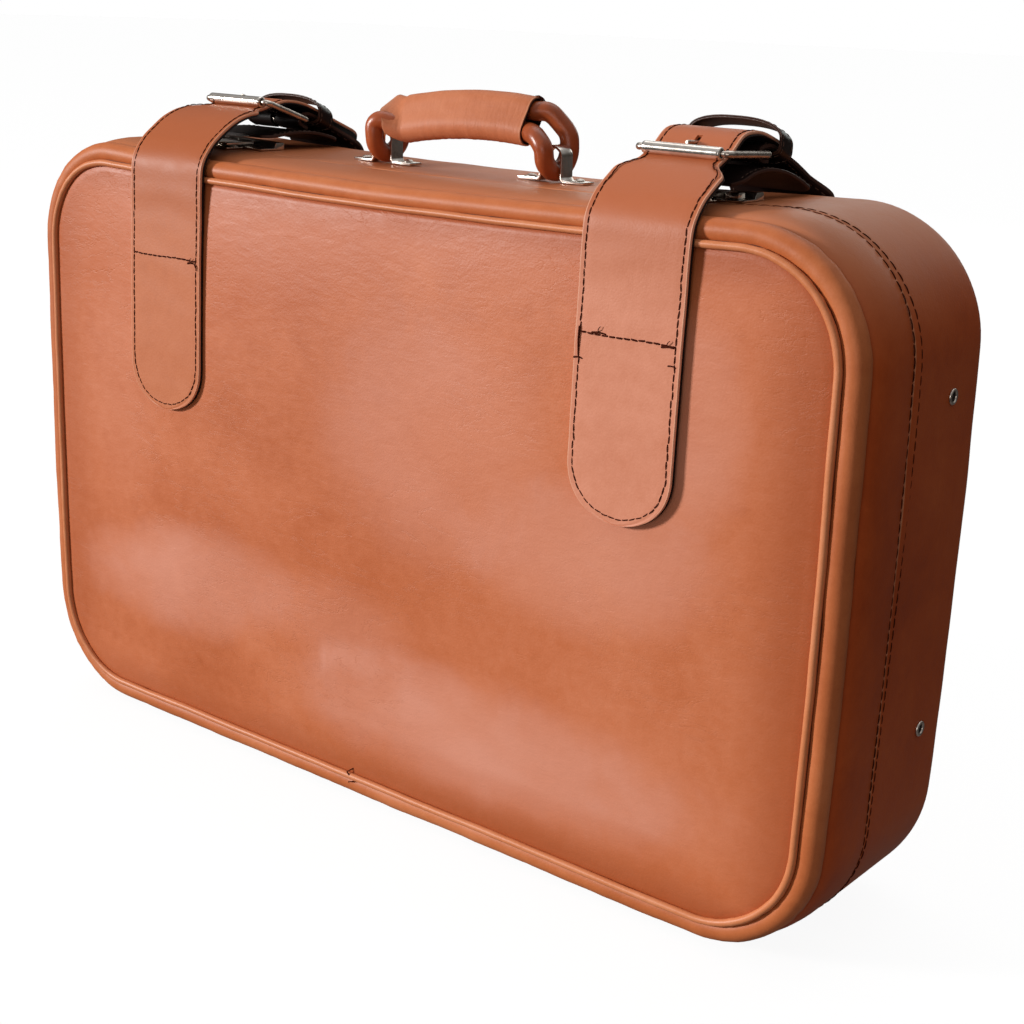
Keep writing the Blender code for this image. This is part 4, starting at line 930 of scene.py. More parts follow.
def resample(path, step, dense_to=None):
    """Even steps along a path, with finer ones close to its first end."""
    d = np.linalg.norm(np.diff(path, axis=0), axis=1)
    s = np.concatenate([[0], np.cumsum(d)])
    t = [0.0]
    while t[-1] < s[-1]:
        here = t[-1]
        t.append(here + (step if dense_to is None or here > dense_to else max(0.00012, step * (0.04 + 0.96 * here / dense_to))))
    t[-1] = s[-1]
    return np.c_[np.interp(t, s, path[:, 0]), np.interp(t, s, path[:, 1])], np.array(t)


def path_normals(p):
    t = np.gradient(p, axis=0)
    t /= np.linalg.norm(t, axis=1)[:, None]
    return np.c_[-t[:, 1], t[:, 0]]


def ribbon(name, x0, p, widths, v_low, v_high, mat, body, nodes, slot_half=0.0, slot_rows=None, inset=0.0, round_r=0.0007,
           groove=0.0, groove_in=0.0036, swell=0.0, cup=None, edge_raw=1.0, wav=0.0, seed=0, n_cols=30, skew=None):
    """A strap layer along path p of (depth, height) between v_low and v_high off the strap's middle surface."""
    nrm = path_normals(p)
    n = len(p)
    half = np.maximum(widths / 2 - inset, 0.0004)
    base = np.linspace(-1, 1, n_cols)
    # columns: fine near both edges, and doubled at the slot
    frac = np.sign(base) * (1 - (1 - np.abs(base)) ** 1.6)
    cols = sorted(set(list(np.round(frac, 5))))
    left = [c for c in cols if c < -0.10]
    right = [c for c in cols if c > 0.10]
    m = len(left) + 2 + len(right)
    U = np.empty((n, m))
    for i in range(n):
        h = half[i]
        s = min(slot_half if slot_half > 0 else 0.0016, h * 0.3)
        lft = [c * h for c in left]
        rgt = [c * h for c in right]
        U[i] = lft + [-s, s] + rgt
        U[i] = np.sort(U[i])
    dist = half[:, None] - np.abs(U)                     # distance in from the edge
    rr = round_r
    drop = np.where(dist < rr, rr - np.sqrt(np.maximum(0, rr ** 2 - (rr - dist) ** 2)), 0.0)
    gv = groove * np.exp(-((dist - groove_in) / 0.0009) ** 2)
    sw = swell * np.clip((dist - groove_in) / 0.012, 0, 1) ** 0.5
    und = 0.0
    if wav:
        und = wav * np.array([[noise.noise(Vector((u * 30 + seed, k * 0.02 * 6, seed))) for u in U[k]] for k in range(n)])
    hi = v_high - drop - gv + sw + und
    lo = v_low + drop * 0.8 + und * 0.6
    cupv = 0.0 if cup is None else cup(p, U, half)
    hi, lo = hi + cupv, lo + cupv
    verts = []
    for v in (hi, lo):
        D = p[:, 0][:, None] + nrm[:, 0][:, None] * v
        Z = p[:, 1][:, None] + nrm[:, 1][:, None] * v
        X = x0 + U + (0 if skew is None else skew(p)[:, None])
        verts.append(np.stack([X, ws(D), Z], axis=-1))
    V = np.array(verts)
    mid = len(left)
    open_row = np.zeros(n - 1, bool) if slot_rows is None else slot_rows
    idx = lambda s, i, j: s * n * m + i * m + j
    cell = np.ones((n - 1, m - 1), bool)
    cell[open_row, mid] = False
    faces = []
    solid = lambda i, j: 0 <= i < n - 1 and 0 <= j < m - 1 and cell[i, j]
    for i in range(n - 1):
        for j in range(m - 1):
            if not cell[i, j]:
                continue
            for s in (0, 1):
                faces.append((idx(s, i, j), idx(s, i, j + 1), idx(s, i + 1, j + 1), idx(s, i + 1, j)))
            if not solid(i - 1, j):
                faces.append((idx(0, i, j), idx(0, i, j + 1), idx(1, i, j + 1), idx(1, i, j)))
            if not solid(i + 1, j):
                faces.append((idx(0, i + 1, j), idx(0, i + 1, j + 1), idx(1, i + 1, j + 1), idx(1, i + 1, j)))
            if not solid(i, j - 1):
                faces.append((idx(0, i, j), idx(0, i + 1, j), idx(1, i + 1, j), idx(1, i, j)))
            if not solid(i, j + 1):
                faces.append((idx(0, i, j + 1), idx(0, i + 1, j + 1), idx(1, i + 1, j + 1), idx(1, i, j + 1)))
    e = np.where(dist < 0.00055, 1.0, np.where(dist < 0.0011, 0.35, 0.0)) * edge_raw
    E = np.concatenate([e.ravel(), np.maximum(e, 0.0).ravel()])
    used = np.unique(np.concatenate([np.array(f) for f in faces]))
    remap = -np.ones(2 * n * m, int)
    remap[used] = np.arange(len(used))
    o = piece(name, V.reshape(-1, 3)[used], [tuple(remap[list(f)]) for f in faces], mat, body, nodes, 45, E[used])
    return o, nrm


def on_strap(x0, p, nrm, u, v):
    """Points at u across and v off the middle surface, with their normals."""
    pts = np.c_[x0 + u, ws(p[:, 0] + nrm[:, 0] * v), p[:, 1] + nrm[:, 1] * v]
    return pts, np.c_[np.zeros(len(p)), nrm[:, 0], nrm[:, 1]]


def tie(name, x, z, d, body, spread=0.003, seed=0):
    """Crossed thread ends where a row was tied off on the lid strap."""
    rng = np.random.default_rng(seed)
    y = ws(d)
    loose_thread(name + "_a", [(x - spread, y + 0.0003, z - 0.0006), (x, y - 0.0006, z + 0.0002), (x + spread, y + 0.0003, z - 0.0003)], 0.00075, body)
    loose_thread(name + "_b", [(x - 0.0006, y + 0.0002, z), (x + 0.0004, y - 0.0012, z + 0.0022), (x + 0.0016, y - 0.0008, z + 0.0040 * rng.uniform(0.8, 1.1))],
                 0.00034, body)


for side, x0 in STRAP_X.items():
    rd, bd = ROLLER[side][0], BAR[side][0]
    path = spline(list(SEWN + TAIL[side]), 12)
    path = path[path[:, 0] <= TIP[side]]
    p, s = resample(path, 0.0016, 0.006)
    widths = np.empty(len(p))
    for i, (d, z) in enumerate(p):
        if z < 0.2760 and d < 0:
            widths[i] = max(tongue_width(z), 0.0020)
        else:
            widths[i] = STRAP_W + (TAIL_W - STRAP_W) * ease((d - rd + 0.0140) / 0.0115)
            if d > TIP[side] - 0.0205:
                widths[i] *= 1 - 0.62 * ((d - TIP[side] + 0.0205) / 0.0210) ** 1.6
    mid_d = (p[:-1, 0] + p[1:, 0]) / 2
    open_rows = (mid_d > rd + 0.0085) & (mid_d < bd - 0.0005)
    top_rows = (mid_d > rd + 0.0085) & (mid_d < rd + 0.0185)

    def cup(pp, U, half, rd=rd):
        """The strap dishes a little across its width where it is pinched into the buckle."""
        w = np.exp(-((pp[:, 0] - rd + 0.012) / 0.010) ** 2) * (pp[:, 0] > 0)
        return -(w[:, None]) * 0.0009 * (U / np.maximum(half[:, None], 1e-4)) ** 2

    ribbon("strap_front_top_" + side, x0, p, widths, -0.0004, 0.0015, TAN_STRAP_R_SHEEN if side == "right" else TAN_STRAP, "lid", ["strap_front_" + side],
           slot_half=0.0017, slot_rows=top_rows, groove=0.00030, swell=0.0, cup=cup, wav=0.00022, seed=3 if side == "left" else 8)
    # the black lining is real, but it is cut 0.4 mm wider each side than the tan top, so that its dark edge shows
    # beside the strap as a painted shadow
    ribbon("strap_front_lining_" + side, x0, p, widths, -0.0015, -0.00042, BLACK, "lid", [], slot_half=0.0021,
           slot_rows=open_rows, inset=-0.0004, cup=cup, edge_raw=0.0, wav=0.00022, seed=3 if side == "left" else 8)
    nrm = path_normals(p)
    # edge stitching: up one side from the round end, along both sides
    ins = 0.0036
    half = widths / 2 - ins
    keep = half > 0.0012
    zz = np.linspace(0.2410 + ins, 0.2760, 50)
    arc = []
    for z in zz:
        u = max(0.0, min(1.0, (z - 0.2410 - ins) / (0.0340 - ins * 0.4)))
        arc.append(math.sqrt(max(0.0, 1 - (1 - u) ** 2.4)) * (STRAP_W / 2 - ins))
    d_of = lambda z: np.interp(z, p[:60, 1], p[:60, 0])
    left_pts = [(-(w), z) for w, z in zip(arc, zz)][::-1]
    right_pts = [(w, z) for w, z in zip(arc, zz)]
    low_rows = [(u, d_of(z), z) for u, z in left_pts + right_pts[1:]]
    sel = (p[:, 1] > 0.2765) | (p[:, 0] > 0)
    pu, nu, hu = p[sel], nrm[sel], half[sel]
    stop = pu[:, 0] < TIP[side] - 0.0175
    pu, nu, hu = pu[stop], nu[stop], hu[stop]
    vL, nL = on_strap(x0, pu, nu, -hu, 0.00135)
    vR, nR = on_strap(x0, pu, nu, hu, 0.00135)
    low = np.array(low_rows)
    tn = np.array([0.0, -1.0, 0.02])
    vlow = np.c_[x0 + low[:, 0], ws(low[:, 1] - 0.00135), low[:, 2]]
    pts = np.vstack([vL[::-1], vlow, vR])
    nn = np.vstack([nL[::-1], np.tile(tn / np.linalg.norm(tn), (len(vlow), 1)), nR])
    stitches("strap_front_stitches_" + side, pts, nn, "lid", pitch=0.0048, fill=0.985, r=0.00042, seed=50 if side == "left" else 51,
             wobble=0.00016, lift=0.45)
    # cross row where the sewn part ends
    xs = np.linspace(-STRAP_W / 2 + ins, STRAP_W / 2 - ins, 24)
    zr = 0.3452 + 0.0004 * np.sin(xs * 90)
    dr = np.interp(zr, p[:200, 1], p[:200, 0])
    stitches("strap_cross_row_" + side, np.c_[x0 + xs, ws(dr - 0.0015), zr], np.tile([0, -1.0, 0.02], (24, 1)), "lid",
             pitch=0.0048, fill=0.95, r=0.00056, seed=52, lift=0.5)
    dz = float(np.interp(0.345, p[:200, 1], p[:200, 0])) - 0.0016
    if side == "right":
        tie("tie_right_a", x0 - 0.0185, 0.3460, dz, "lid", 0.0048, 1)
        tie("tie_right_b", x0 + 0.0265, 0.3448, dz, "lid", 0.0040, 2)
        loose_thread("tie_right_c", [(x0 - 0.0345, ws(dz - 0.0001), 0.3302), (x0 - 0.0312, ws(dz - 0.0009), 0.3310), (x0 - 0.0285, ws(dz - 0.0004), 0.3302)], 0.0006, "lid")
        loose_thread("tie_right_d", [(x0 + 0.0275, ws(dz - 0.0001), 0.3348), (x0 + 0.0300, ws(dz - 0.0008), 0.3352), (x0 + 0.0325, ws(dz - 0.0002), 0.3345)], 0.0005, "lid")
        loose_thread("tie_right_e", [(x0 - 0.0314, ws(dz - 0.0002), 0.3480), (x0 - 0.0316, ws(dz - 0.0007), 0.3400), (x0 - 0.0314, ws(dz - 0.0002), 0.3310)], 0.0007, "lid")
    else:
        tie("tie_left_a", x0 + 0.0265, 0.3440, dz, "lid", 0.0030, 3)
        loose_thread("tie_left_b", [(x0 + 0.0300, ws(dz), 0.3440), (x0 + 0.0318, ws(dz - 0.0010), 0.3425), (x0 + 0.0330, ws(dz - 0.0006), 0.3395)], 0.0004, "lid")

    # rear strap
    lean = 0 if side == "right" else 22
    bz = BAR[side][1]
    bend_pts = [np.array((bd - FOLD_R * math.sin(math.radians(a)), bz + FOLD_R * math.cos(math.radians(a))))
                for a in np.arange(10 - lean, 161 - lean, 15)]
    ld = np.array((math.cos(math.radians(-lean)), math.sin(math.radians(-lean))))
    tail_end = [bend_pts[-1] + ld * 0.0030 - np.array((0, 0.0002)), bend_pts[-1] + ld * 0.0065 - np.array((0, 0.0004))]
    rp = np.vstack([spline(list(BACK_RUN + RISE[side]), 10), bend_pts, tail_end])
    p2, s2 = resample(rp, 0.0015, 0.006)
    w2 = np.empty(len(p2))
    for i, (d, z) in enumerate(p2):
        if z < 0.2760:
            w2[i] = max(tongue_width(z), 0.0020)
        else:
            w2[i] = STRAP_W + (REAR_W - STRAP_W) * ease((z - 0.4150) / 0.0120) if z > 0.4 else STRAP_W
    md = (p2[:-1, 0] + p2[1:, 0]) / 2
    mz = (p2[:-1, 1] + p2[1:, 1]) / 2
    rows2 = (md < bd + 0.0075) & (mz > 0.40)
    n2 = path_normals(p2)
    # the path runs up the back, so its normal points into the case: the outer layer is on the far side, in black
    # leather like the lining
    ribbon("strap_rear_top_" + side, x0, p2, w2, 0.0004, -0.0015, BLACK, "base", ["strap_rear_" + side],
           slot_half=0.0026, slot_rows=rows2, groove=-0.00030, round_r=-0.0007 * 0 + 0.0, wav=0.00015, seed=12)
    ribbon("strap_rear_lining_" + side, x0, p2, w2, 0.00042, 0.0015, BLACK, "base", [], slot_half=0.0028,
           slot_rows=rows2, inset=0.0003, round_r=0.0004, edge_raw=0.0, wav=0.00015, seed=12)
    half2 = w2 / 2 - ins
    sel2 = (p2[:, 1] > 0.2765) & (s2 < s2[-1] - 0.020)
    a1, b1 = on_strap(x0, p2[sel2], n2[sel2], -half2[sel2], -0.00145)
    a2, b2 = on_strap(x0, p2[sel2], n2[sel2], half2[sel2], -0.00145)
    d_of2 = lambda z: np.interp(z, p2[:60, 1], p2[:60, 0])
    low2 = np.array([(u, d_of2(z), z) for u, z in left_pts + right_pts[1:]])
    v3 = np.c_[x0 + low2[:, 0], ws(low2[:, 1] + 0.00145), low2[:, 2]]
    pts = np.vstack([a1[::-1], v3, a2])
    nn = np.vstack([-b1[::-1], np.tile([0, 1.0, 0.0], (len(v3), 1)), -b2])
    stitches("strap_rear_stitches_" + side, pts, nn, "base", pitch=0.0050, fill=0.72, r=0.00038, seed=54, lift=0.55, mat=THREAD_PALE)
    # the same rows show as pale dashes on the black underside
    sel3 = sel2 & (p2[:, 1] > 0.405)
    for tag, sg in (("a", -1), ("b", 1)):
        c1, e1 = on_strap(x0, p2[sel3], n2[sel3], sg * half2[sel3], 0.00150)
        stitches("strap_rear_underrow_%s_%s" % (tag, side), c1, e1, "base", pitch=0.0050, fill=0.55, r=0.00034, mat=THREAD_PALE,
                 seed=55, lift=0.3)
    xs = np.linspace(-STRAP_W / 2 + ins, STRAP_W / 2 - ins, 24)
    zr = np.full(24, 0.3452)
    dr = np.interp(zr, p2[:250, 1], p2[:250, 0])
    stitches("strap_rear_cross_row_" + side, np.c_[x0 + xs, ws(dr + 0.0015), zr], np.tile([0, 1.0, 0.0], (24, 1)), "base",
             pitch=0.0048, fill=0.72, r=0.00038, seed=56, lift=0.5, mat=THREAD_PALE)

    # buckle pad: stiff black leather, its edge raw
    p3, s3 = resample(spline(list(PAD[side]), 8), 0.0020)
    w3 = np.full(len(p3), 0.062)
    for i in range(len(p3)):
        end = min(s3[i], s3[-1] - s3[i])
        if end < 0.008:
            w3[i] = 0.062 - 0.016 * (1 - end / 0.008) ** 2
    # the right pad's front is split, so the hasp lifts between its two tongues
    i0 = int(np.argmax(p3[:, 0] >= 0.0580)) if side == "right" else 0
    ribbon("buckle_pad_leather_" + side, x0, p3[i0:], w3[i0:], -0.0010, 0.0010, BLACK, "base", ["buckle_pad_" + side],
           round_r=0.0004, edge_raw=0.9, groove=0.0002, groove_in=0.003, wav=0.0001, seed=15)
    if i0:
        w4 = 0.0180 - 0.0100 * np.clip(1 - s3[:i0 + 1] / 0.008, 0, 1) ** 2
        for tag, sg in (("a", -1), ("b", 1)):
            ribbon("buckle_pad_tongue_%s_%s" % (tag, side), x0 + sg * 0.0220, p3[:i0 + 1], w4, -0.0010, 0.0010, BLACK, "base",
                   ["buckle_pad_" + side], round_r=0.0004, edge_raw=0.9, wav=0.0001, seed=16)
    n3 = path_normals(p3)
    for tag, sg in (("a", -1), ("b", 1)):
        c1, e1 = on_strap(x0, p3[3:-3], n3[3:-3], sg * (w3[3:-3] / 2 - 0.003), 0.00095)
        stitches("buckle_pad_stitches_%s_%s" % (tag, side), c1, e1, "base", pitch=0.0046, fill=0.6, r=0.00032, mat=THREAD_PALE,
                 seed=57, lift=0.4)


# ---------------------------------------------------------------- buckles
def rod(pts, radius, sides=14, cyclic=False, ref=(1, 0, 0), taper=None):
    """Vertices and faces of a round rod along pts."""
    p = np.asarray(pts, float)
    n = len(p)
    if cyclic:
        t = np.roll(p, -1, 0) - np.roll(p, 1, 0)
    else:
        t = np.gradient(p, axis=0)
    t /= np.linalg.norm(t, axis=1)[:, None]
    # parallel transport
    r0 = np.array(ref, float)
    b = r0 - t[0] * (r0 @ t[0])
    if np.linalg.norm(b) < 1e-3:
        r0 = np.array((0.0, 1.0, 0.2))
        b = r0 - t[0] * (r0 @ t[0])
    b /= np.linalg.norm(b)
    B = [b]
    for i in range(1, n):
        b = B[-1] - t[i] * (B[-1] @ t[i])
        B.append(b / np.linalg.norm(b))
    B = np.array(B)
    C = np.cross(t, B)
    if cyclic:
        b_end = B[-1] - t[0] * (B[-1] @ t[0])
        b_end /= np.linalg.norm(b_end)
        twist = math.atan2(b_end @ C[0], b_end @ B[0])
        ang0 = -twist * np.arange(n) / n
    else:
        ang0 = np.zeros(n)
    ang = 2 * math.pi * np.arange(sides) / sides
    rr = np.full(n, radius) if taper is None else np.asarray(taper) * radius
    a = ang[None, :] + ang0[:, None]
    v = p[:, None] + (B[:, None] * np.cos(a)[..., None] + C[:, None] * np.sin(a)[..., None]) * rr[:, None, None]
    faces = grid_faces(n, sides, cyclic, True)
    if not cyclic:
        faces += [tuple(range(sides)), tuple((n - 1) * sides + i for i in range(sides))]
    return v.reshape(-1, 3), faces


def turned(centre, axis, profile, seg=32, closed=True):
    ax = np.array(axis, float)
    ax /= np.linalg.norm(ax)
    ref = np.array((0, 0, 1.0)) if abs(ax[2]) < 0.9 else np.array((1.0, 0, 0))
    e1 = np.cross(ax, ref)
    e1 /= np.linalg.norm(e1)
    e2 = np.cross(ax, e1)
    c = np.array(centre, float)
    verts, rows = [], []
    for a, r in profile:
        if r == 0:
            rows.append([len(verts)])
            verts.append(c + ax * a)
        else:
            rows.append(list(range(len(verts), len(verts) + seg)))
            for i in range(seg):
                t = 2 * math.pi * i / seg
                verts.append(c + ax * a + (e1 * math.cos(t) + e2 * math.sin(t)) * r)
    faces = []
    m = len(rows)
    for i in range(m if closed else m - 1):
        p, q = rows[i], rows[(i + 1) % m]
        for j in range(seg):
            j2 = (j + 1) % seg
            if len(p) == 1 and len(q) == 1:
                continue
            if len(p) == 1:
                faces.append((p[0], q[j], q[j2]))
            elif len(q) == 1:
                faces.append((p[j], p[j2], q[0]))
            else:
                faces.append((p[j], p[j2], q[j2], q[j]))
    return np.array(verts), faces


for side, x0 in STRAP_X.items():
    (rd, rz), (bd, bz) = ROLLER[side], BAR[side]
    r = 0.0040
    pts = []
    for cx, cd, a0 in ((FRAME_HALF - r, rd + r, -90), (FRAME_HALF - r, bd - r, 0), (-FRAME_HALF + r, bd - r, 90), (-FRAME_HALF + r, rd + r, 180)):
        for i in range(13):
            a = math.radians(a0 + 7.5 * i)
            d = cd + r * math.sin(a)
            pts.append((x0 + cx + r * math.cos(a), ws(d), rz + (bz - rz) * (d - rd) / (bd - rd)))
    full = []
    for i, q in enumerate(pts):
        nx = np.array(pts[(i + 1) % len(pts)])
        full.append(np.array(q))
        k = int(np.linalg.norm(nx - full[-1]) / 0.004)
        for t in range(1, k):
            full.append(np.array(q) * (1 - t / k) + nx * (t / k))
    arm = [1.0 + 0.28 * (1.0 if abs(q[0] - x0) > FRAME_HALF - 0.0025 else 0.0) for q in full]
    v, f = rod(full, BAR_R, 16, cyclic=True, ref=(0, 0, 1), taper=np.convolve(np.r_[arm[-2:], arm, arm[:2]], np.ones(5) / 5, "valid"))
    piece("buckle_frame_wire_" + side, v, f, NICKEL_DULL, "base", ["buckle_frame_" + side], 60)
    hl = ROLLER_LEN / 2 - 0.0020
    R = 0.0035
    prof = [(-hl, 0.0021), (-hl, 0.0029), (-hl + 0.0003, 0.0033), (-hl + 0.0008, R)]
    prof += [(x, R) for x in np.linspace(-hl + 0.002, hl - 0.002, 12)]
    prof += [(hl - 0.0008, R), (hl - 0.0003, 0.0033), (hl, 0.0029), (hl, 0.0021)]
    v, f = turned((x0, ws(rd), rz), (1, 0, 0), prof, 36)
    piece("buckle_roller_tube_" + side, v, f, NICKEL, "roller_" + side, ["buckle_roller_" + side], 50)
    rr = BAR_R + 0.00028 + PRONG_R
    e = np.array((rd - bd, rz - bz))
    e /= np.linalg.norm(e)
    up = np.array((-e[1], e[0])) if e[0] > 0 else np.array((e[1], -e[0]))
    tip = np.array((rd, rz)) - e * 0.0035 + up * (ROLLER_R + PRONG_R)
    to = tip - np.array((bd, bz))
    leave = math.atan2(to[1], to[0]) - math.acos(rr / np.linalg.norm(to))
    hook = [np.array((bd + rr * math.cos(leave - math.radians(250 * (1 - i / 24))), bz + rr * math.sin(leave - math.radians(250 * (1 - i / 24)))))
            for i in range(25)]
    line = hook + [hook[-1] * (1 - t) + tip * t for t in (0.06, 0.2, 0.4, 0.6, 0.8, 0.93, 0.985, 1.0)]
    P3 = [(x0, ws(q[0]), q[1]) for q in line]
    tp = np.ones(len(P3))
    tp[-1], tp[-2] = 0.72, 0.93
    tp[0] = 0.8
    v, f = rod(P3, PRONG_R, 14, taper=tp)
    piece("buckle_prong_wire_" + side, v, f, NICKEL_DULL, "prong_" + side, ["buckle_prong_" + side], 50)
    # keeper: two layers of black leather, folded round and sewn
    kd0, kd1 = KEEPER_D[side]
    lean = 0.35 if side == "right" else 0.42
    kw = 0.0312
    kz0, kz1 = (0.4362, 0.4582) if side == "right" else (0.4270, 0.4472)
    count = 110
    loop = []
    for i in range(count):
        a = 2 * math.pi * i / count
        ca, sa = math.cos(a), math.sin(a)
        loop.append((kw * math.copysign(abs(ca) ** (0.80 if sa > 0 else 0.55), ca),
                     (kz0 + kz1) / 2 + (kz1 - kz0) / 2 * math.copysign(abs(sa) ** (0.86 if sa > 0 else 0.45), sa)))
    loop = np.array(loop)
    # even the spacing of the points round the loop
    cl = np.vstack([loop, loop[:1]])
    ss = np.concatenate([[0], np.cumsum(np.linalg.norm(np.diff(cl, axis=0), axis=1))])
    tt = np.linspace(0, ss[-1], count, endpoint=False)
    loop = np.c_[np.interp(tt, ss, cl[:, 0]), np.interp(tt, ss, cl[:, 1])]
    ln = loop_normals(loop)                       # outward
    parts = []
    for o0, o1 in ((0.0, 0.00082), (0.00098, 0.0018)):
        sec = fillet([(o0, kd0), (o0, kd1), (o1, kd1), (o1, kd0)], 0.00028, 3)
        edge = []
        rows = []
        for o, d in sec:
            q = loop - ln * o
            rows.append(np.c_[x0 + q[:, 0], np.full(count, ws(d)), q[:, 1] + ((kd0 + kd1) / 2 - d) * lean])
            edge.append(1.0 if min(abs(d - kd0), abs(d - kd1)) < 0.0002 else 0.0)
        g = np.array(rows)
        parts.append((g.reshape(-1, 3), grid_faces(len(sec), count, True, True), np.repeat(edge, count)))
    v, f, e2 = merge(parts)
    piece("strap_keeper_leather_" + side, v, f, KEEPER, "base", ["strap_keeper_" + side], 50, e2)
    for tag, d in (("a", kd0 + 0.0019), ("b", kd1 - 0.0019)):
        q = np.c_[x0 + loop[:, 0], np.full(count, ws(d)), loop[:, 1] + ((kd0 + kd1) / 2 - d) * lean]
        stitches("strap_keeper_stitches_%s_%s" % (tag, side), q, np.c_[ln[:, 0], np.zeros(count), ln[:, 1]], "base", closed=True,
                 pitch=0.0042, fill=0.7, r=0.00030, mat=THREAD_PALE, seed=61, lift=0.4)


# ---------------------------------------------------------------- locks
def bevelled(verts, faces, width, segs=2):
    """Verts and faces of a solid with its sharp edges bevelled."""
    bm = bmesh.new()
    vs = [bm.verts.new(v) for v in verts]
    for f in faces:
        bm.faces.new([vs[i] for i in f])
    bmesh.ops.recalc_face_normals(bm, faces=bm.faces)
    sharp = [e for e in bm.edges if len(e.link_faces) == 2 and e.calc_face_angle(0) > math.radians(35)]
    bmesh.ops.bevel(bm, geom=sharp, offset=width, segments=segs, profile=0.6, affect="EDGES", clamp_overlap=True)
    bm.verts.index_update()
    v = np.array([list(x.co) for x in bm.verts])
    f = [tuple(x.index for x in fc.verts) for fc in bm.faces]
    bm.free()
    return v, f


for side, x0 in STRAP_X.items():
    sgn = 1 if side == "right" else -1
    tilt = Matrix.Rotation(-sgn * LOCK_TILT, 3, "Y")
    c0 = Vector((x0, ws(0.0), LOCK_Z))

    def lk(u, d, w, c0=c0, tilt=tilt):
        return tuple(c0 + tilt @ Vector((u, d, w)))

    def prism(name, node, body, section, u0, u1, mat, width):
        m = len(section)
        verts = [lk(u, d, w) for u in (u0, u1) for d, w in section]
        faces = [tuple(range(m)), tuple(range(m, 2 * m))]
        for i in range(m):
            k = (i + 1) % m
            faces.append((i, k, m + k, m + i))
        v, f = bevelled(verts, faces, width)
        return piece(name, v, f, mat, body, [node], 40)

    prism("lock_body_plate_" + side, "lock_plate_" + side, "base", [(0.0537, 0.0006), (0.0745, 0.0006), (0.0745, 0.0046), (0.0740, 0.0052),
          (0.0670, 0.0052), (0.0655, 0.0018), (0.0537, 0.0018)], -0.030, 0.030, NICKEL, 0.00035)
    prism("lock_strike_plate_" + side, "lock_strike_" + side, "lid", [(0.0370, 0.0006), (0.0512, 0.0006), (0.0512, 0.0014), (0.0470, 0.0014),
          (0.0465, 0.0023), (0.0440, 0.0023), (0.0435, 0.0014), (0.0370, 0.0014)], -0.014, 0.014, NICKEL, 0.0002)
    hd, hw, hr = 0.0627, 0.0037, 0.0015
    sec = []
    for i in range(17):
        a = math.radians(150 - 15 * i)
        sec.append((hd + hr * math.cos(a), hw + hr * math.sin(a)))
    sec += [(0.0400, hw - 0.0009), (0.0392, hw - 0.0004), (0.0392, hw + 0.0003), (0.0400, hw + 0.0006)]
    prism("lock_hasp_flap_" + side, "lock_hasp_" + side, "hasp_" + side, sec, -0.0115, 0.0115, NICKEL, 0.0002)
    b = 0.0165 * sgn
    u0, u1 = sorted((b, b + sgn * 0.0085))
    prism("lock_button_slide_" + side, "lock_button_" + side, "button_" + side, [(0.0560, 0.0021), (0.0630, 0.0021), (0.0630, 0.0046),
          (0.0622, 0.0054), (0.0568, 0.0054), (0.0560, 0.0046)], u0, u1, NICKEL, 0.0004)


# ---------------------------------------------------------------- handle
def grip_z(x):
    return 0.4486 - 1.4 * (x - 0.018) ** 2


def eye_points(s):
    b = BRACKET_X
    z0 = grip_z(s * 0.050)
    if s > 0:
        pts = [(0.0500, -RUN_Y, z0 - RUN_Z), (0.0565, -0.0075, (z0 - RUN_Z) * 0.75 + 0.4395 * 0.25),
               (0.0625, -0.0115, (z0 - RUN_Z) * 0.3 + 0.4385 * 0.7), (0.0672, -0.0131, 0.4358)]
    else:
        pts = [(0.0500, -RUN_Y, z0 - RUN_Z), (0.0575, -0.0078, 0.4390), (0.0648, -0.0118, 0.4405), (0.0690, -0.0130, 0.4375)]
    for a in range(0, 181, 30):
        pts.append((b, -EYE_R * math.cos(math.radians(a)), PIVOT_Z - EYE_R * math.sin(math.radians(a))))
    pts += [(0.0686, 0.0129, 0.4395), (0.0650, 0.0108, 0.4455 if s > 0 else 0.4440),
            (0.0580, 0.0068, (z0 + RUN_Z) - 0.0006), (0.0500, RUN_Y, z0 + RUN_Z)]
    return [(s * x, y, z) for x, y, z in pts]


core = [tuple(q) for q in spline(eye_points(1), 6)]
core += [(x, RUN_Y, grip_z(x) + RUN_Z) for x in np.linspace(0.046, -0.046, 22)]
core += [tuple(q) for q in spline(eye_points(-1)[::-1], 6)]
core += [(x, -RUN_Y, grip_z(x) - RUN_Z) for x in np.linspace(-0.046, 0.046, 22)]
core = np.array([(x, y + HY, z) for x, y, z in core])
v, f = rod(core, CORE_R, 26, cyclic=True, ref=(0, 0, 1))
v = v + (nz(v[:, 0], v[:, 1], v[:, 2], 120.0, 2.0) * 0.00022)[:, None] * 0.6
core_obj = piece("handle_stuffed_loop", v, f, BROWN, "handle", ["handle_core"], 60)


def stadium(r, n=12):
    base = math.atan2(RUN_Z, RUN_Y)
    pts = []
    for cy, cz, a0 in ((RUN_Y, RUN_Z, base - math.pi / 2), (-RUN_Y, -RUN_Z, base + math.pi / 2)):
        for i in range(n + 1):
            a = a0 + math.pi * i / n
            pts.append((cy + r * math.cos(a), cz + r * math.sin(a)))
    return np.array(pts)


def even(pts, n):
    cl = np.vstack([pts, pts[:1]])
    ss = np.concatenate([[0], np.cumsum(np.linalg.norm(np.diff(cl, axis=0), axis=1))])
    tt = np.linspace(0, ss[-1], n, endpoint=False)
    return np.c_[np.interp(tt, ss, cl[:, 0]), np.interp(tt, ss, cl[:, 1])]


NS = 64
so, si = even(stadium(CORE_R + 0.0025), NS), even(stadium(CORE_R + 0.0012), NS)
sm = even(stadium(CORE_R + 0.0017), NS)
xs = np.linspace(-0.0600, 0.0500, 66)


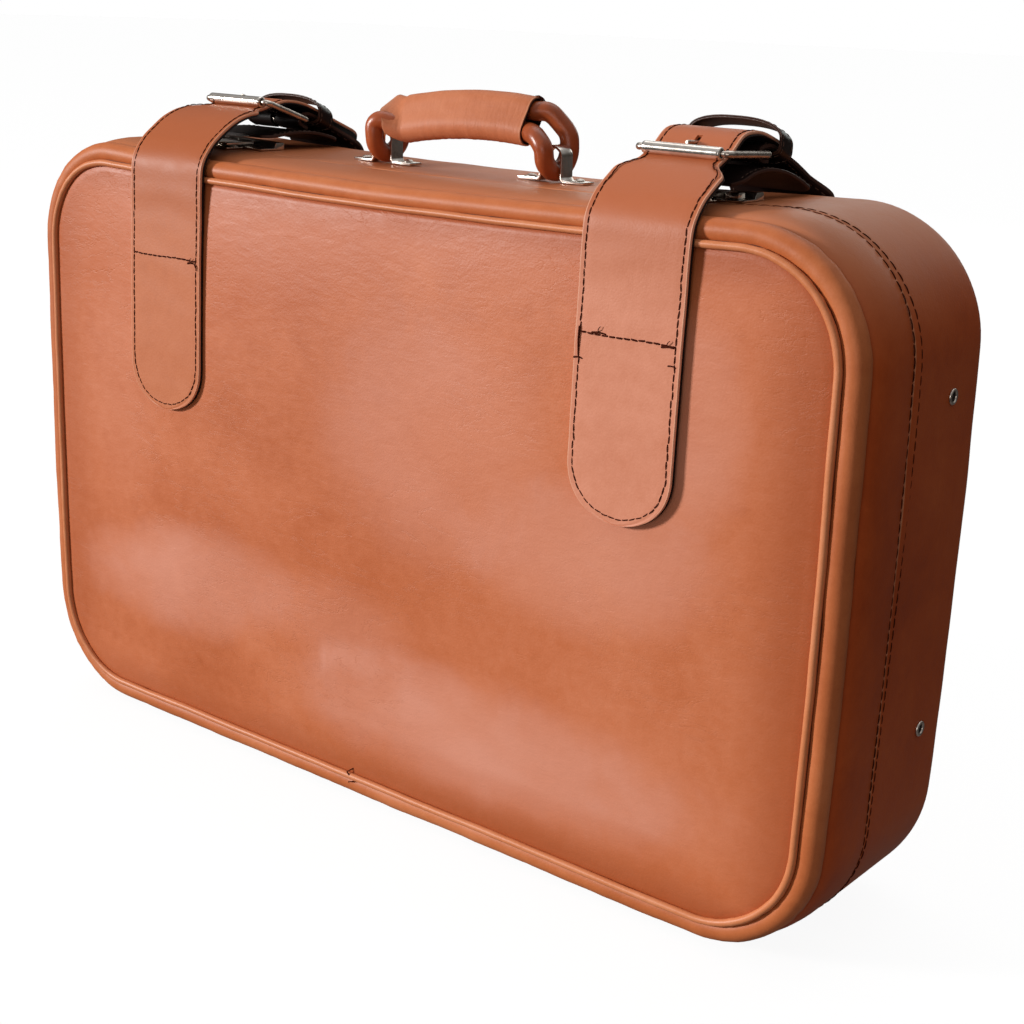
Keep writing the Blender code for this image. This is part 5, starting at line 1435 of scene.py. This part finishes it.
def sheath(r):
    """Rows of the sheath's section at radius r about the two runs, which part towards the left loops."""
    rows = []
    for k, x in enumerate(xs):
        t = max(0.0, (-0.0500 - x) / 0.0100)
        cy, cz = RUN_Y + (0.0085 - RUN_Y) * t, RUN_Z + (0.0038 - RUN_Z) * t
        base = math.atan2(cz, cy)
        pts = []
        for sy, sz, a0 in ((cy, cz, base - math.pi / 2), (-cy, -cz, base + math.pi / 2)):
            for i in range(13):
                a = a0 + math.pi * i / 12
                pts.append((sy + r * math.cos(a), sz + r * math.sin(a)))
        pts = np.array(pts)
        # start every section at the same bearing so that rows do not twist
        pts = np.roll(pts, 6, axis=0)
        sec = even(pts, NS)
        slope = math.atan(-2.8 * (x - 0.018)) if x > -0.050 else math.atan(-2.8 * (-0.068)) * (1 - t * 0.6)
        y, z = sec[:, 0], sec[:, 1]
        z = z + 0.0008 * t * t * np.clip(z / 0.010, 0, 1.2)            # the left end stands open over the loops
        xx = x - z * math.sin(slope) * 0.9 - 0.0060 * t * t * np.clip((z + 0.0015) / 0.0065, 0, 1)
        gz0 = grip_z(x) + 0.0030 * t * t
        rows.append(np.c_[xx, HY + y, gz0 + z])
    return np.array(rows)


O, I, M = sheath(CORE_R + 0.0025), sheath(CORE_R + 0.0012), sheath(CORE_R + 0.0017)
swell = 0.00035 * np.sin(np.linspace(0, math.pi, len(xs))) ** 0.5
cen = O.mean(axis=1, keepdims=True)
dirs = O - cen
dirs[..., 0] = 0
dirs /= np.linalg.norm(dirs, axis=2)[..., None]
fold = np.array([[noise.noise(Vector((q[0] * 55, q[1] * 160, q[2] * 160))) for q in row] for row in O])
under = np.clip(-(dirs[..., 2]) * 1.0, 0, 1)                 # gathers on the inside of the arch
gather = np.array([[noise.noise(Vector((q[0] * 330, 0.3, q[2] * 60))) for q in row] for row in O]) * under * 0.00025
O = O + dirs * (swell[:, None] + fold * 0.00022 + gather)[..., None]
rows = [O[0] * 0.25 + M[0] * 0.75] + list(O) + [O[-1] * 0.25 + M[-1] * 0.75]
outer = np.array(rows)
inner = np.array([r for r in M[::-1]])
ring_rows = np.concatenate([outer, inner])
mm = len(ring_rows)
e = np.zeros((mm, NS))
e[0] = e[1] = 0.8
e[len(outer) - 1] = e[len(outer) - 2] = 0.8
piece("handle_grip_leather", ring_rows.reshape(-1, 3), [(i * NS + j, i * NS + (j + 1) % NS, ((i + 1) % mm) * NS + (j + 1) % NS, ((i + 1) % mm) * NS + j)
      for i in range(mm) for j in range(NS)], TAN_GRIP, "handle", ["handle_grip"], 50, e.ravel())
# dark lining of the sheath
li = np.array([r for r in sheath(CORE_R + 0.00165)])
lj = np.array([r for r in I[::-1]])
# it shows a little past the tan leather at both ends
li[-1, :, 0] += 0.0006
lj[0, :, 0] += 0.0006
li[0, :, 0] -= 0.0006
lj[-1, :, 0] -= 0.0006
lr = np.concatenate([li, lj])
mm = len(lr)
piece("handle_grip_lining", lr.reshape(-1, 3), [(i * NS + j, i * NS + (j + 1) % NS, ((i + 1) % mm) * NS + (j + 1) % NS, ((i + 1) % mm) * NS + j)
      for i in range(mm) for j in range(NS)], BLACK, "handle", [], 50, np.zeros(mm * NS))
# seam along the sheath's top at the back, whipped with black thread, heaviest at the right end
top_j = int(np.argmax(O[30, :, 2] + 0.6 * (O[30, :, 1] - HY)))
seam = O[:, top_j]
sn = dirs[:, top_j]
stitches("handle_seam_row", seam, sn, "handle", pitch=0.0042, fill=0.9, r=0.00045, seed=71, lift=0.6)
whip = []
for k, x in enumerate(np.linspace(0.020, 0.0500, 10)):
    i = int(np.interp(x, xs, np.arange(len(xs))))
    c, nn = O[i, top_j], dirs[i, top_j]
    t = np.array((1.0, 0, 0))
    b = np.cross(nn, t)
    b /= np.linalg.norm(b)
    a1 = c - b * 0.0016 - t * 0.0012 - nn * 0.0003
    a2 = c + nn * 0.0008
    a3 = c + b * 0.0016 + t * 0.0012 - nn * 0.0003
    loose_thread("handle_whip_%02d" % k, [a1, a2, a3], 0.00055, "handle")
# black thread bunched at the right end of the seam, round the sheath's rim
i = len(xs) - 1
for k, dj in enumerate((-5, -4, -3, -2, -1, 0, 1, 2, 3)):
    j = (top_j + dj) % NS
    c, nn = O[i, j], dirs[i, j]
    c2 = I[i, j]
    loose_thread("handle_rim_whip_%02d" % k, [c - np.array((0.0030, 0, 0)) + nn * 0.0001, c + nn * 0.0005 + np.array((0.0002, 0, 0)),
                                              c2 + np.array((0.0009, 0, 0))], 0.00060, "handle")

# brackets
BR_Z = 0.4130
for side, s in (("left", -1), ("right", 1)):
    out = [(-0.0250, 0.0), (-0.0250, 0.0015), (-0.0100, 0.0015), (-0.0088, 0.0030), (-0.0086, 0.0150)]
    for a in range(170, 5, -10):
        out.append((0.0087 * math.cos(math.radians(a)), 0.0150 + 0.0071 * math.sin(math.radians(a))))
    out += [(0.0086, 0.0150), (0.0088, 0.0030), (0.0100, 0.0015), (0.0250, 0.0015), (0.0250, 0.0)]
    inn = [(0.0093, 0.0), (0.0073, 0.0022), (0.0071, 0.0148)]
    for a in range(10, 175, 10):
        inn.append((0.0072 * math.cos(math.radians(a)), 0.0148 + 0.0057 * math.sin(math.radians(a))))
    inn += [(-0.0071, 0.0148), (-0.0073, 0.0022), (-0.0093, 0.0)]
    sec = out + inn
    mm = len(sec)
    verts = [(s * BRACKET_X + u, ws(d), BR_Z + w) for d in (HANDLE_D - 0.0055, HANDLE_D + 0.0055) for u, w in sec]
    faces = [tuple(range(mm)), tuple(range(mm, 2 * mm))]
    for i in range(mm):
        k2 = (i + 1) % mm
        faces.append((i, k2, mm + k2, mm + i))
    v, f = bevelled(verts, faces, 0.00022)
    piece("handle_bracket_strip_" + side, v, f, NICKEL, "base", ["handle_bracket_" + side], 40)
    for w, u in (("outer", 0.0185), ("inner", -0.0185)):
        prof = [(0.0, 0.0), (0.0, 0.0032)] + [(0.0014 * math.sin(math.radians(a)), 0.0032 * math.cos(math.radians(a))) for a in range(12, 90, 12)] + [(0.0014, 0.0)]
        v, f = turned((s * BRACKET_X + s * u, ws(HANDLE_D), BR_Z + 0.0018), (0, 0, 1), prof, 24, closed=False)
        piece("bracket_rivet_head_%s_%s" % (w, side), v, f, NICKEL_DULL, "base", ["bracket_rivet_%s_%s" % (w, side)], 50)

# ---------------------------------------------------------------- packing straps and eyelets
for nm, z, d in (("upper", 0.3210, 0.1010), ("lower", 0.1250, 0.1060)):
    x1 = W2 - LINE - 0.0010 + SIDE_BOW * (1 - ((z - ZC) / H2) ** 2) - 0.0006
    ctrl = [(-x1 + 0.0004, d - 0.012), (-x1 + 0.0004, d + 0.004), (-x1 + 0.0060, d + 0.0120), (-0.2600, d + 0.0200), (-0.13, d + 0.0221),
            (0.0, d + 0.0230), (0.13, d + 0.0221), (0.2600, d + 0.0200), (x1 - 0.0060, d + 0.0120), (x1 - 0.0004, d + 0.004), (x1 - 0.0004, d - 0.012)]
    pth = spline(ctrl, 14)
    pth[:, 0] = np.clip(pth[:, 0], -x1 + 0.0003, x1 - 0.0003)
    n = len(pth)
    t = np.gradient(pth, axis=0)
    t /= np.linalg.norm(t, axis=1)[:, None]
    nn = np.c_[-t[:, 1], t[:, 0]]
    cols = np.array([-0.0125, -0.0122, -0.0110, -0.0085, -0.004, 0.0, 0.004, 0.0085, 0.0110, 0.0122, 0.0125])
    thick = np.array([0.0003, 0.00055, 0.0006, 0.0005, 0.0006, 0.0006, 0.0006, 0.0005, 0.0006, 0.00055, 0.0003])
    g = []
    for sgn in (1, -1):
        for i in range(n):
            for c, th in zip(cols, thick):
                px = min(max(pth[i, 0] + nn[i, 0] * sgn * th, -x1), x1)
                g.append((px, ws(pth[i, 1] + nn[i, 1] * sgn * th), z + c))
    m = len(cols)
    faces = []
    for sd in (0, 1):
        b0 = sd * n * m
        for i in range(n - 1):
            for j in range(m - 1):
                faces.append((b0 + i * m + j, b0 + i * m + j + 1, b0 + (i + 1) * m + j + 1, b0 + (i + 1) * m + j))
    for i in range(n - 1):
        for j in (0, m - 1):
            faces.append((i * m + j, (i + 1) * m + j, n * m + (i + 1) * m + j, n * m + i * m + j))
    for j in range(m - 1):
        for i in (0, n - 1):
            faces.append((i * m + j, i * m + j + 1, n * m + i * m + j + 1, n * m + i * m + j))
    piece("packing_strap_leather_" + nm, g, faces, BROWN, "base", ["packing_strap_" + nm], 50)
    mid = slice(20, n - 20)
    for tag, off in (("a", 0.0098), ("b", -0.0098)):
        line = np.c_[pth[mid, 0], ws(pth[mid, 1] - 0.0006), np.full(n - 40, z + off)]
        stitches("packing_strap_stitches_%s_%s" % (tag, nm), line, np.tile([0, -1.0, 0], (n - 40, 1)), "base", pitch=0.0046,
                 fill=0.75, r=0.00028, seed=81, lift=0.3, skip=lambda q: abs(q[0]) < 0.0125)
    fz0, fz1, fx0, fx1, rim = z - 0.0165, z + 0.0165, -0.0120, 0.0120, 0.0030
    d0, d1 = d + 0.0195, d + 0.0217
    verts, faces = [], []
    for dd in (d0, d1):
        for a0, b0_, c0_, e0 in ((fx0, fx1, fz0, fz1), (fx0 + rim, fx1 - rim, fz0 + rim, fz1 - rim)):
            verts += [(a0, ws(dd), c0_), (b0_, ws(dd), c0_), (b0_, ws(dd), e0), (a0, ws(dd), e0)]
    for a, b in ((0, 4), (8, 12)):
        for j in range(4):
            j2 = (j + 1) % 4
            faces.append((a + j, a + j2, b + j2, b + j))
    for a, b in ((0, 8), (4, 12)):
        for j in range(4):
            j2 = (j + 1) % 4
            faces.append((a + j, a + j2, b + j2, b + j))
    v, f = bevelled(verts, faces, 0.0006, 3)
    piece("packing_buckle_frame_" + nm, v, f, NICKEL_DULL, "base", ["packing_buckle_" + nm], 40)
    for side, s in (("left", -1), ("right", 1)):
        x = s * (W2 + SIDE_BOW * (1 - ((z - ZC) / H2) ** 2) + 0.0003)
        prof = [(0.0, 0.0028), (0.0, 0.0047)]
        for a in range(10, 171, 16):
            prof.append((0.0011 * math.sin(math.radians(a)), 0.0038 + 0.0009 * math.cos(math.radians(a))))
        prof += [(0.0002, 0.0029), (-0.0004, 0.0028)]
        v, f = turned((x, ws(d), z), (s, 0, 0), prof, 36)
        piece("eyelet_ring_%s_%s" % (nm, side), v, f, NICKEL_DULL, "base", ["eyelet_%s_%s" % (nm, side)], 50)
        # a black disc in the ring: painted shade for the dark of the hole
        v, f = turned((x, ws(d), z), (s, 0, 0), [(-0.0003, 0.0), (-0.0003, 0.0029), (0.00005, 0.0029), (0.00008, 0.0)], 20, closed=False)
        piece("eyelet_hole_%s_%s" % (nm, side), v, f, BLACK, "base", [], 50, np.zeros(len(v)))

# the roll's joint at the bottom, closed by a zig-zag of thick thread
zx = -0.0160
zig = [(zx + 0.0022, 0.0016, 0.0238), (zx - 0.0022, -0.0013, 0.0205), (zx + 0.0034, 0.0009, 0.0146), (zx - 0.0030, 0.0013, 0.0121), (zx + 0.0038, 0.0037, 0.0058)]
for k in range(len(zig) - 1):
    a, b = np.array(zig[k]), np.array(zig[k + 1])
    mid = (a + b) / 2 + np.array((0, -0.0005, -0.0001))
    pts = [(a[0], ws(a[1]), a[2]), (mid[0], ws(mid[1]), mid[2]), (b[0], ws(b[1]), b[2])]
    loose_thread("roll_joint_thread_%d" % k, pts, 0.00048, "lid")

# ---------------------------------------------------------------- stage, light, camera
scene = bpy.context.scene
scene.view_settings.view_transform = "Standard"

fm = bpy.data.materials.new("floor_pale")
fm.use_nodes = True
ft = fm.node_tree
fb = ft.nodes["Principled BSDF"]
fb.inputs["Base Color"].default_value = (0.93, 0.93, 0.93, 1)
fb.inputs["Roughness"].default_value = 0.9
fb.inputs["Specular IOR Level"].default_value = 0.1
tr = ft.nodes.new("ShaderNodeBsdfTransparent")
mx = ft.nodes.new("ShaderNodeMixShader")
fc = ft.nodes.new("ShaderNodeTexCoord")
fx = ft.nodes.new("ShaderNodeMapping")
fx.inputs["Scale"].default_value = (1.0, 1.6, 0.0)
ft.links.new(fc.outputs["Object"], fx.inputs["Vector"])
fl = ft.nodes.new("ShaderNodeVectorMath")
fl.operation = "LENGTH"
ft.links.new(fx.outputs["Vector"], fl.inputs[0])
fr = ft.nodes.new("ShaderNodeMapRange")
fr.interpolation_type = "SMOOTHSTEP"
for key, value in (("From Min", 0.30), ("From Max", 0.75), ("To Min", 0.13), ("To Max", 0.05)):
    fr.inputs[key].default_value = value
ft.links.new(fl.outputs["Value"], fr.inputs["Value"])
ft.links.new(fr.outputs["Result"], mx.inputs["Fac"])
ft.links.new(tr.outputs["BSDF"], mx.inputs[1])
fb.inputs["Emission Color"].default_value = (1, 1, 1, 1)
fb.inputs["Emission Strength"].default_value = 0.45
ft.links.new(fb.outputs["BSDF"], mx.inputs[2])
ft.links.new(mx.outputs["Shader"], ft.nodes["Material Output"].inputs["Surface"])
fme = bpy.data.meshes.new("floor")
S = 30.0
fme.from_pydata([(-S, -S, -0.0006), (S, -S, -0.0006), (S, S, -0.0006), (-S, S, -0.0006)], [], [(0, 1, 2, 3)])
fme.materials.append(fm)
floor = bpy.data.objects.new("floor", fme)
scene.collection.objects.link(floor)

world = bpy.data.worlds.new("studio")
scene.world = world
world.use_nodes = True
wt = world.node_tree
bg = wt.nodes["Background"]
bg.inputs["Strength"].default_value = 1.0
wc = wt.nodes.new("ShaderNodeTexCoord")
wsep = wt.nodes.new("ShaderNodeSeparateXYZ")
wt.links.new(wc.outputs["Generated"], wsep.inputs["Vector"])
wr = wt.nodes.new("ShaderNodeValToRGB")
wr.color_ramp.elements[0].position, wr.color_ramp.elements[0].color = 0.0, (0.030, 0.024, 0.020, 1)
wr.color_ramp.elements[1].position, wr.color_ramp.elements[1].color = 0.85, (0.50, 0.50, 0.50, 1)
we = wr.color_ramp.elements.new(0.30)
we.color = (0.085, 0.080, 0.074, 1)
wt.links.new(wsep.outputs["Z"], wr.inputs["Fac"])
wt.links.new(wr.outputs["Color"], bg.inputs["Color"])
white = wt.nodes.new("ShaderNodeBackground")
white.inputs["Color"].default_value = (1, 1, 1, 1)
white.inputs["Strength"].default_value = 1.0
lp_n = wt.nodes.new("ShaderNodeLightPath")
mixw = wt.nodes.new("ShaderNodeMixShader")
wt.links.new(lp_n.outputs["Is Camera Ray"], mixw.inputs["Fac"])
wt.links.new(bg.outputs["Background"], mixw.inputs[1])
wt.links.new(white.outputs["Background"], mixw.inputs[2])
wt.links.new(mixw.outputs["Shader"], wt.nodes["World Output"].inputs["Surface"])


def area(name, loc, target, size, energy, color=(1, 1, 1)):
    la = bpy.data.lights.new(name, "AREA")
    la.shape = "RECTANGLE"
    la.size, la.size_y = size
    la.energy = energy
    la.color = color
    o = bpy.data.objects.new(name, la)
    o.location = loc
    o.rotation_mode = "QUATERNION"
    o.rotation_quaternion = (Vector(target) - Vector(loc)).to_track_quat("-Z", "Y")
    scene.collection.objects.link(o)
    return o


C = Vector((0.0, 0.0, 0.22))
Lk = Vector((-0.70, -0.68, 0.22)).normalized()
area("key", C + Lk * 10.0, C, (1.5, 1.5), 1040, (1.0, 0.98, 0.96))
area("top", Vector((-0.4, 0.9, 2.9)), C, (2.6, 1.8), 18, (1.0, 0.99, 0.98))
area("front_fill", Vector((1.2, -2.9, 0.7)), C, (1.6, 1.2), 13, (1.0, 0.95, 0.92))
area("back_sheen", Vector((-0.9, 3.4, 1.5)), C + Vector((0.1, 0, 0.2)), (3.4, 1.2), 20, (0.96, 1.0, 0.96))

cam_data = bpy.data.cameras.new("camera")
cam_data.sensor_width = 36.0
cam_data.lens = 59.336
cam_data.clip_start, cam_data.clip_end = 0.01, 100
cam = bpy.data.objects.new("camera", cam_data)
scene.collection.objects.link(cam)
right_v, up_v, back_v = (0.77880, 0.62621, 0.03661), (-0.20688, 0.20132, 0.95743), (0.59218, -0.75322, 0.28633)
rot = Matrix((right_v, up_v, back_v)).transposed()
cam.rotation_mode = "QUATERNION"
cam.rotation_quaternion = rot.to_quaternion()
cam.location = (0.69973, -0.82513, 0.51351)
scene.camera = cam
